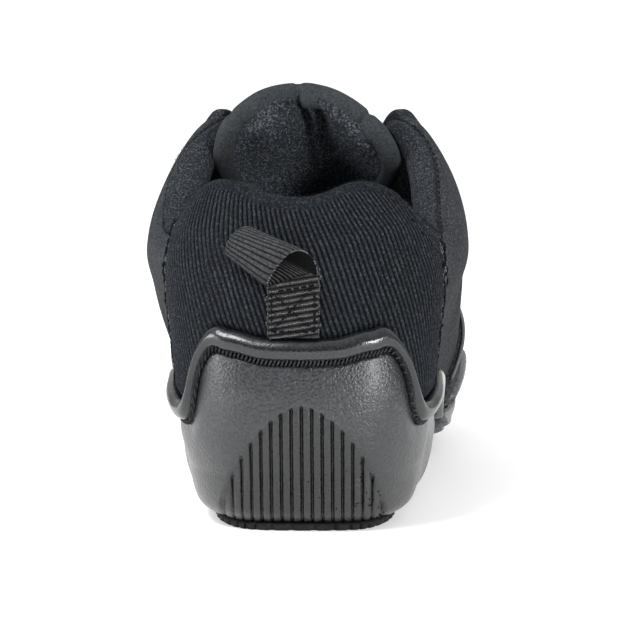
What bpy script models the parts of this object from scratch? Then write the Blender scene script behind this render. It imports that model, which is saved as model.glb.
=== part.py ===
"""Lace-up dance sneaker for the right foot, with a split sole, standing empty on its sole.

Sizes are millimetres here and become metres when a mesh is made. In the tables u runs from the
back of the heel to the toe, x to the lateral side and z up from the floor. The upper's outer face
is a function of s, once round the shoe from the back of the heel by the lateral side, and of t,
from the feather edge at the sole up to the edge of the opening. Every other piece that lies
against the upper is worked out from that face.
"""
import math
from collections import namedtuple

import bmesh
import bpy
import numpy as np

MM = 0.001
GAP = 0.3                 # clearance between neighbouring pieces
SEAT_GAP = 0.7            # and round the upper inside the sole units, where facets differ
CENTRE_X = 0.18           # plan centre of the finished shoe, where the origin stands
CENTRE_U = 129.49

WALL = 2.5                # upper, below the padding
PAD_START = 0.45          # share of the height where the collar's padding begins
CUP_WALL = 3.2            # moulded heel cup
HEEL_TREAD = 2.0
FORE_TREAD = 3.0
HEEL_TREAD_INSET = 4.4    # treads inside the feather edge, and inside the ends of the sole units
FORE_TREAD_INSET = 1.2
TREAD_END = 3.0
TOE_SPRING = 7.0
SPRING_START = 215.0      # u where the toe begins to lift
REAR_LIFT = 3.0           # lift of the forefoot unit's rear end
REAR_START = 182.0        # u where that lift begins, towards the heel
REAR_END = 150.0
TOE_END = 262.0
ARCH_THICK = 2.0
INSOLE_THICK = 4.0
INSOLE_INSET = 1.2        # inside the upper's wall
PANEL_THICK = 1.2         # overlays on the upper
PANEL_EDGE = 0.6          # share of that left at their edges
RIM_CLEAR = 1.0           # from a sole unit's rim to an overlay

HEEL_END = 113.0          # distance round the shoe, heel back to the front of the heel cup
FORE_START = 163.0        # and to the rear of the forefoot unit
UPPER_COLUMNS = 60
END_LEAN = 7.0            # how far those ends draw back at the floor
HEEL_SPINE = 24.0         # ends of the middle line on which floors and plates meet
TOE_SPINE = 236.0

CUP_SPREAD = 1.35         # above 1 the cup's columns are closer at its rim's corners
RIB_PITCH = 2.8
RIB_COUNT = 17
RIB_DEPTH = 1.2
RIB_RECESS = 0.5
DOME_HALF = 24.0          # ribbed dome on the cup's back: half width, height and roundness
DOME_HEIGHT = 36.5
DOME_POWER = 1.65
DOME_FADE = 14.0          # steepness of its border

LOBE = 2.4                # swelling of the forefoot unit's side
LOBE_PITCH = 27.0
LOBE_POWER = 0.6          # below 1 the lobes are blunt

WEB_THICK = 1.1           # pull loop webbing, two layers of it in the sewn tab
WEB_HALF = 7.0
TAB_X = -2.2
TAB_HEIGHTS = (57.0, 71.6)
TAB_SLANT = 2.0           # rise of the tab's top end towards the lateral side
LOOP_X = -10.0            # middle of the free loop, behind the panel's face
LOOP_BEHIND = 5.2
LOOP_Z = 77.8
LOOP_TILT = math.radians(34.8)  # fall of its length towards the lateral side
LOOP_LENGTH = 8.4         # half sizes along and across its length and front to back
LOOP_TALL = 5.4
LOOP_DEEP = 2.4
LOOP_SKEW = 3.2           # its top reaches further to the lateral side than its bottom

LACE_WIDTH = 6.0
LACE_THICK = 1.4
LACE_BOW = 2.2            # rise of a lace bar at its middle
EYELET_OUTER = 3.0
EYELET_INNER = 1.6
EYELET_THICK = 0.8
EYELET_INSET = 7.0        # from the throat edge
EYELETS = 5
EYELET_SPAN = (120.0, 162.0)  # stations of the first and last pair

# One section of the upper. u, lateral and medial place the widest line in plan and belly is its
# height. tuck sets the feather edge inside that line, and flare the point halfway up to it.
# edge_* is the opening's edge, crown the fullness from belly to edge, rim the wall at the edge.
Section = namedtuple("Section", "u lateral medial belly tuck flare "
                     "edge_u edge_lateral edge_medial edge_z crown rim")
SECTIONS = [
    Section(3.4, 0.0, 0.0, 38, 5.0, 1.5, 9.0, -2.0, 2.0, 88.5, 1.5, 7.0),           # heel back
    Section(7.2, 21.5, 21.5, 40, 5.0, 1.5, 13.0, 10.0, 14.0, 90.7, 2.0, 7.0),       # heel quarter
    Section(25.0, 33.0, 33.0, 48, 5.5, 1.2, 23.0, 22.0, 25.0, 92.5, 4.0, 7.0),      # heel side
    Section(50.0, 39.0, 39.5, 62, 9.0, 5.0, 43.0, 36.5, 37.0, 79.5, 1.5, 8.0),      # ankle dip
    Section(72.0, 45.5, 46.5, 71, 13.0, 9.0, 62.0, 40.5, 41.5, 82.5, 1.5, 9.0),     # ankle
    Section(95.0, 46.2, 46.8, 70, 12.5, 8.0, 87.0, 38.5, 38.5, 98.5, 2.5, 8.5),     # collar front
    Section(118.0, 45.0, 43.5, 52, 10.0, 4.5, 103.0, 28.0, 28.0, 108.5, 6.0, 6.0),  # eyestay top
    Section(142.0, 44.5, 42.0, 37, 7.5, 2.5, 125.0, 20.0, 20.0, 95.5, 6.0, 3.5),    # instep
    Section(172.0, 44.0, 43.5, 30, 6.0, 1.8, 146.0, 16.0, 16.0, 79.5, 5.0, 3.0),    # ball
    Section(212.0, 38.5, 41.0, 27, 5.0, 1.5, 164.0, 11.5, 11.5, 67.5, 6.0, 3.0),    # toe side
    Section(243.0, 20.0, 30.5, 26, 4.0, 1.0, 171.5, 5.5, 5.5, 63.8, 6.5, 3.0),      # toe front
    Section(258.0, -7.0, 7.0, 27, 4.0, 1.0, 173.0, 0.0, 0.0, 63.0, 6.5, 3.0),       # toe tip
]

# Height of the feather edge, where the upper stands on the sole, at a station.
Feather = namedtuple("Feather", "u z")
FEATHER = [Feather(0, 16), Feather(60, 16), Feather(100, 17), Feather(125, 15.6), Feather(150, 12.2),
           Feather(172, 10.2), Feather(205, 10), Feather(235, 11.5), Feather(262, 14.5)]

# Height of a sole unit's rim at a distance round the shoe from the back of the heel.
Rim = namedtuple("Rim", "reach z")
CUP_RIM = [Rim(0, 54.2), Rim(11, 54.8), Rim(19, 56.6), Rim(25, 56.2), Rim(28, 50.5), Rim(30.8, 42.5),
           Rim(34.5, 36.8), Rim(39, 35.2), Rim(46, 36.5), Rim(58, 38.5), Rim(72, 39.5), Rim(92, 35),
           Rim(113, 21)]
FORE_RIM = [Rim(163, 20), Rim(178, 27), Rim(192, 30.5), Rim(210, 28), Rim(228, 25.5), Rim(250, 28),
            Rim(275, 33), Rim(300, 35)]
GUARD_TOP = [Rim(150, 24), Rim(165, 38), Rim(185, 47), Rim(215, 44), Rim(245, 44), Rim(300, 48)]

# Levels of a sole unit's outer wall, bottom to rim. A level's height is
# low + share * (rim - low) - drop, and out is its distance beyond the upper's side.
Level = namedtuple("Level", "low share drop out swell")
CUP_LEVELS = [
    Level(2.3, 0.0, 0.0, -4.5, 0),
    Level(3.2, 0.0, 0.0, -2.2, 0),
    Level(5.5, 0.0, 0.0, 0.6, 0),
    Level(10.0, 0.0, 0.0, 2.2, 0),
    Level(16.0, 0.0, 0.0, 3.1, 0),
    Level(16.0, 0.16, 1.0, CUP_WALL, 0),
    Level(16.0, 0.32, 1.9, CUP_WALL, 0),
    Level(16.0, 0.45, 2.7, CUP_WALL, 0),
    Level(16.0, 0.55, 3.3, CUP_WALL, 0),
    Level(16.0, 0.63, 3.8, CUP_WALL, 0),
    Level(16.0, 0.80, 4.8, CUP_WALL, 0),
    Level(16.0, 1.0, 6.0, CUP_WALL, 0),
    Level(16.0, 1.0, 5.2, 2.4, 0),       # stitch groove
    Level(16.0, 1.0, 4.3, 4.4, 0),       # bead
    Level(16.0, 1.0, 2.2, 5.0, 0),
    Level(16.0, 1.0, 0.5, 4.2, 0),
    Level(16.0, 1.0, 0.0, 2.6, 0),
]
FORE_LEVELS = [
    Level(0.0, 0.0, 0.0, -1.0, 0.0),
    Level(0.0, 0.05, 0.0, 1.2, 0.3),
    Level(0.0, 0.16, 0.0, 2.4, 0.9),
    Level(0.0, 0.30, 0.0, 2.8, 1.0),
    Level(0.0, 0.46, 0.0, 2.6, 0.75),
    Level(0.0, 0.57, 0.0, 2.2, 0.0),     # crease above the lobes
    Level(0.0, 0.66, 0.0, 3.0, 0.0),
    Level(0.0, 1.0, 6.0, 2.8, 0.0),
    Level(0.0, 1.0, 5.2, 2.0, 0.0),      # stitch groove
    Level(0.0, 1.0, 4.3, 3.4, 0.0),      # bead
    Level(0.0, 1.0, 2.2, 3.8, 0.0),
    Level(0.0, 1.0, 0.5, 3.2, 0.0),
    Level(0.0, 1.0, 0.0, 2.0, 0.0),
]
BAND_FULL = 20.0          # wall height above which the bead has its full depth
RIM_ROUND = 0.6           # drop from the bead's top to its inner edge

# The tongue from root to tip: centre line, half width, drop at the full half width, thickness.
TONGUE_HALF = 29.0
TongueRow = namedtuple("TongueRow", "x u z half curl thick")
TONGUE = [
    TongueRow(0.0, 186.0, 52.0, 14.0, 14.0, 3.0),
    TongueRow(0.0, 168.0, 57.5, 15.5, 14.0, 4.0),
    TongueRow(0.0, 143.0, 75.5, 17.0, 16.0, 5.0),
    TongueRow(-0.4, 120.0, 94.0, 21.0, 18.0, 6.0),
    TongueRow(-0.8, 105.0, 107.0, 26.0, 19.0, 7.0),
    TongueRow(-1.4, 98.5, 113.3, 25.5, 19.0, 7.0),
    TongueRow(-2.8, 95.2, 117.2, 20.5, 19.0, 6.5),
    TongueRow(-3.6, 93.5, 119.5, 9.0, 19.0, 5.0),
]

# Base colour and roughness of each material.
COLOURS = {
    "moulded": (0.085, 0.086, 0.088, 0.45),
    "rubber": (0.012, 0.012, 0.013, 0.8),
    "twill": (0.013, 0.013, 0.015, 0.9),
    "neoprene": (0.016, 0.016, 0.018, 0.85),
    "lining": (0.02, 0.021, 0.024, 1.0),
    "webbing": (0.022, 0.021, 0.021, 0.9),
    "enamel": (0.015, 0.015, 0.015, 0.35),
}

LoopRow = namedtuple("LoopRow", "x u belly tuck flare edge_x edge_u edge_z crown rim")


def side_row(row, sign):
    """A section's values on the lateral side (sign 1) or the medial side (sign -1)."""
    x, edge_x = (row.lateral, row.edge_lateral) if sign > 0 else (-row.medial, -row.edge_medial)
    return LoopRow(x, row.u, row.belly, row.tuck, row.flare,
                   edge_x, row.edge_u, row.edge_z, row.crown, row.rim)


def loop_knots():
    """s of every row, heel back at 0 and toe tip at 0.5, and the length round half the shoe."""
    half = np.array([((row.lateral + row.medial) / 2, row.u) for row in SECTIONS])
    reach = np.concatenate([[0.0], np.cumsum(np.hypot(*np.diff(half, axis=0).T))])
    side = reach / reach[-1] / 2
    return np.concatenate([side, 1.0 - side[-2:0:-1]]), reach[-1]


def closed_tangents(knots, rows):
    """Slopes that make a closed cubic through the rows smooth in slope and curvature."""
    step = np.diff(np.append(knots, 1.0))
    before = np.roll(step, 1)
    slope = (np.roll(rows, -1, 0) - rows) / step[:, None]
    index = np.arange(len(knots))
    system = np.diag(2 * (step + before))
    system[index, index - 1] += step
    system[index, (index + 1) % len(knots)] += before
    return np.linalg.solve(system, 3 * (step[:, None] * np.roll(slope, 1, 0) + before[:, None] * slope))


LOOP = np.array([side_row(row, 1) for row in SECTIONS] + [side_row(row, -1) for row in SECTIONS[-2:0:-1]])
KNOTS, HALF_ROUND = loop_knots()
TANGENTS = closed_tangents(KNOTS, LOOP)


def hermite(f, step, start, start_slope, end, end_slope):
    """Cubic between two values with given slopes, at the share f of the step."""
    return ((2 * f ** 3 - 3 * f ** 2 + 1) * start + (f ** 3 - 2 * f ** 2 + f) * step * start_slope
            + (3 * f ** 2 - 2 * f ** 3) * end + (f ** 3 - f ** 2) * step * end_slope)


def loop_at(s):
    """Section values at s."""
    s = np.asarray(s, float) % 1.0
    k = np.searchsorted(KNOTS, s, side="right") - 1
    after = (k + 1) % len(KNOTS)
    step = np.append(KNOTS, 1.0)[k + 1] - KNOTS[k]
    f = ((s - KNOTS[k]) / step)[..., None]
    value = hermite(f, step[..., None], LOOP[k], TANGENTS[k], LOOP[after], TANGENTS[after])
    return LoopRow(*np.moveaxis(value, -1, 0))


def table_at(rows, x):
    """Columns of an open table, read smoothly at x of its first column."""
    rows = np.array(rows, float)
    at, values = rows[:, 0], rows[:, 1:]
    slope = np.gradient(values, at, axis=0)
    x = np.clip(x, at[0], at[-1])
    k = np.clip(np.searchsorted(at, x, side="right") - 1, 0, len(at) - 2)
    step = (at[k + 1] - at[k])[..., None]
    f = (x - at[k])[..., None] / step
    return hermite(f, step, values[k], slope[k], values[k + 1], slope[k + 1])


def feather_height(u):
    """Height of the feather edge at a station."""
    return table_at(FEATHER, u)[..., 0]


def reach_of(s):
    """Distance round the shoe from the back of the heel, the same on both sides."""
    s = np.asarray(s, float) % 1.0
    return np.minimum(s, 1.0 - s) * 2 * HALF_ROUND


def plan_normal(s):
    """Outward direction in plan, x and u."""
    ahead, behind = loop_at(s + 1e-4), loop_at(s - 1e-4)
    across, forward = ahead.u - behind.u, behind.x - ahead.x
    length = np.hypot(across, forward)
    return across / length, forward / length


def unit(vector):
    return vector / np.linalg.norm(vector, axis=-1, keepdims=True)


def section_curve(points, t):
    """Smooth curve through the points of each column, at the share t of its length."""
    spans = np.linalg.norm(points[1:] - points[:-1], axis=-1)
    spans = spans / spans.sum(0)
    rises = (points[1:] - points[:-1]) / spans[..., None]
    weights = (spans[1:] / (spans[1:] + spans[:-1]))[..., None]
    middle = weights * rises[:-1] + (1 - weights) * rises[1:]
    slopes = np.concatenate([2 * rises[:1] - middle[:1], middle, 2 * rises[-1:] - middle[-1:]])
    knots = np.concatenate([np.zeros_like(spans[:1]), np.cumsum(spans, axis=0)])
    k = np.sum(t >= knots[1:-1], axis=0)
    def pick(values, shift=0):
        return np.take_along_axis(values, (k + shift)[None, ..., None], 0)[0]
    span = pick(spans[..., None])
    f = (t[..., None] - pick(knots[..., None])) / span
    return hermite(f, span, pick(points), pick(slopes), pick(points, 1), pick(slopes, 1))


def upper_at(s, t):
    """Point on the outer face of the upper, on a curve from the feather edge to the opening."""
    s, t = np.broadcast_arrays(np.asarray(s, float), np.asarray(t, float))
    row = loop_at(s)
    nx, nu = plan_normal(s)
    foot_u = row.u - row.tuck * nu
    feather = np.stack([row.x - row.tuck * nx, foot_u, feather_height(foot_u)], -1)
    belly = np.stack([row.x, row.u, row.belly], -1)
    middle = (feather[..., 2] + row.belly) / 2
    flare = np.stack([row.x - row.flare * nx, row.u - row.flare * nu, middle], -1)
    edge = np.stack([row.edge_x, row.edge_u, row.edge_z], -1)
    chord = unit(edge - belly)
    out = np.stack([0.6 * nx, 0.6 * nu, np.full_like(nx, 0.8)], -1)
    out = unit(out - chord * np.sum(out * chord, -1, keepdims=True))
    crown = (belly + edge) / 2 + out * row.crown[..., None]
    return section_curve(np.stack([feather, flare, belly, crown, edge]), t)


def upper_frame(s, t):
    """Outward normal of the upper's face and its direction towards the opening."""
    round_shoe = upper_at(s + 1e-4, t) - upper_at(s - 1e-4, t)
    upward = unit(upper_at(s, t + 1e-3) - upper_at(s, t - 1e-3))
    return unit(np.cross(round_shoe, upward)), upward


def off_upper(s, t, out):
    """Point at a distance from the upper's outer face, outwards if positive."""
    normal, _ = upper_frame(s, t)
    return upper_at(s, t) + normal * np.asarray(out, float)[..., None]


def wall_thickness(s, t):
    """Wall of the upper, growing into the padded collar."""
    share = np.clip((t - PAD_START) / (0.9 - PAD_START), 0, 1)
    return WALL + (loop_at(s).rim - WALL) * share * share * (3 - 2 * share)


def t_at_height(s, z):
    """t where the upper's face stands at the height z."""
    low = np.zeros(np.broadcast(s, z).shape)
    high = low + 1.0
    for _ in range(24):
        middle = (low + high) / 2
        below = upper_at(s, middle)[..., 2] < z
        low = np.where(below, middle, low)
        high = np.where(below, high, middle)
    return (low + high) / 2


def beside_upper(s, z, out):
    """Point at height z, level with the upper's side plus out; below the feather edge, with that."""
    foot = upper_at(s, np.zeros_like(z))[..., 2]
    face = upper_at(s, t_at_height(s, np.maximum(z, foot)))
    nx, nu = plan_normal(s)
    return np.stack([face[..., 0] + out * nx, face[..., 1] + out * nu, np.broadcast_to(z, nx.shape)], -1)


def spine(s, back, front):
    """Plan points midway between the feather edges of both sides, kept between two stations."""
    half = np.linspace(0, 0.5, 201)
    middle = (upper_at(half, 0.0) + upper_at(1 - half, 0.0)) / 2
    beside = np.minimum(s % 1.0, 1 - s % 1.0)
    u = np.clip(np.interp(beside, half, middle[:, 1]), back, front)
    return np.stack([np.interp(u, middle[:, 1], middle[:, 0]), u], -1)


def raised(plan, z):
    """Plan points set at a height."""
    return np.column_stack([plan, np.broadcast_to(z, len(plan))])


def material(name):
    mat = bpy.data.materials.get(name)
    if mat is None:
        red, green, blue, roughness = COLOURS[name]
        mat = bpy.data.materials.new(name)
        mat.use_nodes = True
        shader = mat.node_tree.nodes["Principled BSDF"]
        shader.inputs["Base Color"].default_value = (red, green, blue, 1.0)
        shader.inputs["Roughness"].default_value = roughness
    return mat


def add_solid(name, points, faces, material_name):
    """Make one object from points in millimetres, joined where they coincide, facing out."""
    mesh = bpy.data.meshes.new(name)
    placed = (np.asarray(points, float) - (CENTRE_X, CENTRE_U, 0.0)) * MM
    mesh.from_pydata(placed.tolist(), [], faces)
    shape = bmesh.new()
    shape.from_mesh(mesh)
    bmesh.ops.remove_doubles(shape, verts=shape.verts, dist=1e-6)
    bmesh.ops.triangulate(shape, faces=shape.faces)
    bmesh.ops.recalc_face_normals(shape, faces=shape.faces)
    shape.to_mesh(mesh)
    shape.free()
    mesh.shade_smooth()
    mesh.set_sharp_from_angle(angle=math.radians(35))
    mesh.materials.append(material(material_name))
    solid = bpy.data.objects.new(name, mesh)
    bpy.context.collection.objects.link(solid)
    return solid


def grid_faces(rows, columns, close_rows=False, close_columns=False):
    """Quads of a grid of points stored row by row."""
    faces = []
    for i in range(rows if close_rows else rows - 1):
        for j in range(columns if close_columns else columns - 1):
            after, beside = (i + 1) % rows, (j + 1) % columns
            faces.append((i * columns + j, i * columns + beside,
                          after * columns + beside, after * columns + j))
    return faces


def swept_solid(name, profiles, material_name, closed=False, spined=True):
    """Solid from one profile per column. Spined profiles start and end on a shared middle line."""
    columns, count = profiles.shape[:2]
    faces = grid_faces(columns, count, close_rows=closed, close_columns=not spined)
    if not closed:
        faces.append(tuple(range(count)))
        faces.append(tuple((columns - 1) * count + j for j in range(count)))
    return add_solid(name, profiles.reshape(-1, 3), faces, material_name)


def slab(name, outer, inner, material_name):
    """Sheet with thickness between two grids of the same size."""
    rows, columns = outer.shape[:2]
    size = rows * columns
    faces = grid_faces(rows, columns)
    faces += [tuple(size + k for k in reversed(face)) for face in faces]
    border = [j for j in range(columns)]
    border += [i * columns + columns - 1 for i in range(1, rows)]
    border += [(rows - 1) * columns + j for j in range(columns - 2, -1, -1)]
    border += [i * columns for i in range(rows - 2, 0, -1)]
    for a, b in zip(border, border[1:] + border[:1]):
        faces.append((a, b, size + b, size + a))
    return add_solid(name, np.concatenate([outer.reshape(-1, 3), inner.reshape(-1, 3)]), faces, material_name)


def build_upper(columns=UPPER_COLUMNS):
    """Hollow shell: outer face, rolled edge, inner face, and a bottom rim that closes the ring."""
    s = np.arange(columns) / columns
    outer = [upper_at(s, t) for t in (0, 0.07, 0.16, 0.27, 0.4, 0.53, 0.66, 0.78, 0.89, 1.0)]
    normal, upward = upper_frame(s, np.ones_like(s))
    half = loop_at(s).rim[:, None] / 2
    middle = upper_at(s, 1.0) - normal * half
    turns = [math.pi * k / 4 for k in (1, 2, 3)]
    roll = [middle + half * (math.cos(turn) * normal + math.sin(turn) * upward) for turn in turns]
    inner = [off_upper(s, np.full_like(s, t), -wall_thickness(s, t))
             for t in (1.0, 0.85, 0.7, 0.55, 0.4, 0.2, 0.0)]
    profiles = np.stack(outer + roll + inner, axis=1)
    return swept_solid("upper", profiles, "neoprene", closed=True, spined=False)


def rim_height(rows, s):
    return table_at(rows, reach_of(s))[..., 0]


def level_point(level, rim_rows, base, s, extra=0.0):
    """Point of one wall level of a sole unit at s."""
    rim = rim_height(rim_rows, s)
    low = level.low + base
    depth = np.clip((rim - low) / BAND_FULL, 0.1, 1.0)
    z = low + level.share * (rim - low) - level.drop * depth
    return beside_upper(s, z, level.out + extra)


def heel_columns(level):
    """s of the heel cup's columns on the lateral side: one per rib flank, then evenly to the front."""
    dense = np.linspace(0.0, 0.13, 200)
    across = level_point(level, CUP_RIM, 0.0, dense)[:, 0]
    ribs = np.interp(np.arange(RIB_COUNT + 2) * RIB_PITCH / 2, across, dense)
    rest = np.linspace(0.0, 1.0, 13)[1:] ** CUP_SPREAD
    lean = END_LEAN * max(0.0, 1 - level.low / CUP_LEVELS[-1].low)
    end = (HEEL_END - lean) / (2 * HALF_ROUND)
    return np.concatenate([ribs, ribs[-1] + (end - ribs[-1]) * rest])


def rib_depth(point):
    """How far the ribbed dome lies below the cup's face."""
    across, z = np.abs(point[..., 0]), point[..., 2]
    inside = 1 - (across / DOME_HALF) ** DOME_POWER - (z / DOME_HEIGHT) ** DOME_POWER
    groove = 0.5 + 0.5 * np.cos(2 * math.pi * across / RIB_PITCH)
    return np.clip(inside * DOME_FADE, 0, 1) * (RIB_RECESS + RIB_DEPTH * groove)


def seat_points(s, rim_rows, back, front):
    """Inside of a sole unit, from its rim down the upper's side and under it to the middle line."""
    foot = upper_at(s, 0.0)[:, 2]
    top = rim_height(rim_rows, s) - RIM_ROUND
    side = [beside_upper(s, foot + share * (top - foot), SEAT_GAP) for share in (1.0, 0.8, 0.6, 0.4, 0.2)]
    middle = spine(s, back, front)
    return side + [beside_upper(s, foot - GAP, SEAT_GAP), raised(middle, feather_height(middle[:, 1]) - GAP)]


def build_heel_cup():
    """Cup with ribs, stitch groove and bead, its floor joined along a middle line."""
    walls = []
    for level in CUP_LEVELS:
        lateral = heel_columns(level)
        s = np.concatenate([lateral[::-1], 1.0 - lateral[1:]])
        under = raised(spine(s, HEEL_SPINE, TOE_END), level.low) if not walls else under
        plain = level_point(level, CUP_RIM, 0.0, s)
        walls.append(level_point(level, CUP_RIM, 0.0, s, -rib_depth(plain)))
    profile = [under] + walls + seat_points(s, CUP_RIM, HEEL_SPINE, TOE_END)
    return swept_solid("heel_cup", np.stack(profile, axis=1), "moulded")


def spring(u):
    """Lift of the forefoot's bottom towards the toe and towards its rear end."""
    toe = np.clip((u - SPRING_START) / (TOE_END - SPRING_START), 0, None)
    rear = np.clip((REAR_START - u) / (REAR_START - REAR_END), 0, None)
    return TOE_SPRING * toe ** 2 + REAR_LIFT * rear ** 2


def lobes(s):
    """Rounded lobes along the forefoot unit's side, 0 between them and 1 at their middles."""
    return np.abs(np.sin(math.pi * (reach_of(s) - FORE_START) / LOBE_PITCH)) ** LOBE_POWER


def fore_sides(columns, share=1.0):
    """s of the forefoot unit's columns, its rear end drawn back towards the floor."""
    start = (FORE_START + END_LEAN * max(0.0, 1 - 2 * share)) / (2 * HALF_ROUND)
    return np.linspace(start, 1.0 - start, columns)


def build_forefoot_sole(columns=53):
    """Forefoot unit with lobed side, stitch groove and bead, open at its rear."""
    walls = []
    for level in FORE_LEVELS:
        s = fore_sides(columns, level.share)
        base = FORE_TREAD + GAP + spring(upper_at(s, 0.0)[:, 1])
        walls.append(level_point(level, FORE_RIM, base, s, LOBE * level.swell * lobes(s)))
    middle = spine(fore_sides(columns, 0.0), 0.0, TOE_SPINE)
    under = raised(middle, FORE_TREAD + GAP + spring(middle[:, 1]))
    profile = [under] + walls + seat_points(fore_sides(columns), FORE_RIM, 0.0, TOE_SPINE)
    return swept_solid("forefoot_sole", np.stack(profile, axis=1), "moulded")


def plate(name, s, out, low, high, material_name, closed=False):
    """Flat piece inside an outline out beyond the feather edge; low and high give its heights at u."""
    edge = upper_at(s, 0.0)[:, :2] + out * np.stack(plan_normal(s), -1)
    middle = spine(s, HEEL_SPINE, TOE_SPINE)
    rings = [raised(plan, height(plan[:, 1]))
             for plan, height in ((middle, low), (edge, low), (edge, high), (middle, high))]
    return swept_solid(name, np.stack(rings, axis=1), material_name, closed=closed)


def build_treads():
    end = (HEEL_END - END_LEAN - TREAD_END) / (2 * HALF_ROUND)
    plate("heel_tread", np.linspace(-end, end, 41), -HEEL_TREAD_INSET,
          lambda u: 0 * u, lambda u: 0 * u + HEEL_TREAD, "rubber")
    start = (FORE_START + END_LEAN + TREAD_END) / (2 * HALF_ROUND)
    plate("forefoot_tread", np.linspace(start, 1 - start, 49), -FORE_TREAD_INSET,
          spring, lambda u: spring(u) + FORE_TREAD, "rubber")


def build_insole():
    """Insole inside the upper's bottom ring."""
    plate("insole", np.arange(60) / 60, -WALL - INSOLE_INSET, lambda u: feather_height(u) + GAP,
          lambda u: feather_height(u) + INSOLE_THICK, "lining", closed=True)


def build_arch_panel(rows=9, across=7):
    """Thin panel under the upper between the two sole units."""
    start = (HEEL_END + 1.0) / (2 * HALF_ROUND)
    end = (FORE_START - 1.0) / (2 * HALF_ROUND)
    s = np.linspace(start, end, rows)[:, None]
    lateral, medial = upper_at(s, 0.0), upper_at(1 - s, 0.0)
    share = np.linspace(0, 1, across)[None, :, None]
    top = lateral + (medial - lateral) * share - (0, 0, GAP)
    slab("arch_panel", top, top - (0, 0, ARCH_THICK), "twill")


def overlay(name, s, t, material_name):
    """Raised panel on the upper's own face, with its edges drawn in."""
    outer = np.full(s.shape, SEAT_GAP + PANEL_THICK)
    outer[[0, -1], :] = SEAT_GAP + PANEL_EDGE * PANEL_THICK
    outer[:, [0, -1]] = SEAT_GAP + PANEL_EDGE * PANEL_THICK
    slab(name, off_upper(s, t, outer), off_upper(s, t, np.full(s.shape, SEAT_GAP)), material_name)


def build_back_panel(columns=29, rows=7, foot=52.0, top=66.0):
    """Panel round the heel from the cup's rim to the collar's M-shaped edge."""
    v = np.linspace(0, 1, rows)[:, None]
    f = np.linspace(-1, 1, columns)[None, :]
    s = f * (foot + (top - foot) * v) / (2 * HALF_ROUND)
    low = t_at_height(s, rim_height(CUP_RIM, s) + RIM_CLEAR)
    overlay("back_panel", s, low + (0.985 - low) * v, "twill")


def overlay_grid(start, rows):
    """Columns shared with the upper, from a distance round the shoe by the toe to the same distance."""
    first = round(start / (2 * HALF_ROUND) * UPPER_COLUMNS)
    s = np.arange(first, UPPER_COLUMNS - first + 1)[None, :] / UPPER_COLUMNS
    v = np.linspace(0, 1, rows)[:, None]
    return s + 0 * v, v + 0 * s


def build_toe_guard(rows=4, start=150.0):
    """Low panel round the forefoot, from the sole's rim up."""
    s, v = overlay_grid(start, rows)
    low = t_at_height(s, rim_height(FORE_RIM, s) + RIM_CLEAR)
    high = t_at_height(s, np.maximum(rim_height(GUARD_TOP, s), rim_height(FORE_RIM, s) + 4.0))
    overlay("toe_guard", s, low + (high - low) * v, "neoprene")


def throat_t(s, inset):
    """t at a distance from the opening's edge."""
    length = np.linalg.norm(upper_at(s, 1.0) - upper_at(s, 0.9), axis=-1) * 10
    return 1.0 - inset / length


def build_eyestay(rows=3, width=15.0, start=140.0):
    """Raised band round the throat."""
    s, v = overlay_grid(start, rows)
    t = throat_t(s, width * (1 - v) + 0.5)
    overlay("eyestay", s, t, "twill")


def eyelet_places():
    """s of the eyelets on the lateral side, top first, evenly down the throat."""
    s = np.linspace(0.2, 0.5, 301)
    return np.interp(np.linspace(*EYELET_SPAN, EYELETS), loop_at(s).edge_u, s)


def ring_solid(name, centre, normal, upward, material_name, sides=8):
    """Flat ring standing on a face."""
    beside = np.cross(upward, normal)
    profiles = []
    for k in range(sides):
        turn = 2 * math.pi * k / sides
        spoke = math.cos(turn) * upward + math.sin(turn) * beside
        low = [centre + spoke * EYELET_INNER, centre + spoke * EYELET_OUTER]
        profiles.append(low + [point + normal * EYELET_THICK for point in reversed(low)])
    return swept_solid(name, np.array(profiles), material_name, closed=True, spined=False)


def strap_solid(name, path, wide, thick, material_name):
    """Flat strap along a path, with half its width as a vector at each point."""
    deep = unit(np.cross(np.gradient(path, axis=0), wide)) * thick / 2
    corners = [path - wide - deep, path + wide - deep, path + wide + deep, path - wide + deep]
    return swept_solid(name, np.stack(corners, axis=1), material_name, spined=False)


def lace_end(s):
    """An eyelet's frame and the lace's first points: over the eyelet, then round the throat's edge."""
    t = float(throat_t(s, EYELET_INSET))
    normal, upward = upper_frame(s, t)
    lift = SEAT_GAP + PANEL_THICK + GAP
    centre = upper_at(s, t) + normal * lift
    above = EYELET_THICK + 3 * GAP + LACE_THICK / 2
    edge_normal, edge_up = upper_frame(s, 1.0)
    edge = upper_at(s, 1.0)
    turn = edge + (edge_normal * 0.6 + edge_up * 0.8) * (lift + above + loop_at(s).rim / 4)
    path = [centre + normal * above, edge + edge_normal * (lift + above), turn]
    return centre, normal, upward, path


def build_lacing():
    """Eyelets down both sides of the throat and a flat lace bar across each pair."""
    for number, s in enumerate(eyelet_places(), start=1):
        ends = []
        for side, at in (("lateral", s), ("medial", 1 - s)):
            centre, normal, upward, end = lace_end(at)
            ring_solid(f"eyelet_{side}_{number}", centre, normal, upward, "enamel")
            ends.append(end)
        middle = (ends[0][-1] + ends[1][-1]) / 2 + (0, 0, LACE_BOW)
        path = smooth_rows(ends[0] + [middle] + ends[1][::-1], 13).T
        down_throat = (upper_at(s - 0.01, 1.0) - upper_at(s + 0.01, 1.0)) * (0, 1, 1)
        wide = np.tile(unit(down_throat) * LACE_WIDTH / 2, (len(path), 1))
        strap_solid(f"lace_bar_{number}", path, wide, LACE_THICK, "webbing")


def smooth_rows(rows, count):
    """Rows of a table read evenly along a smooth curve through them."""
    at = np.linspace(0, len(rows) - 1, count)
    return table_at([(k,) + tuple(row) for k, row in enumerate(rows)], at).T


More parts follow.
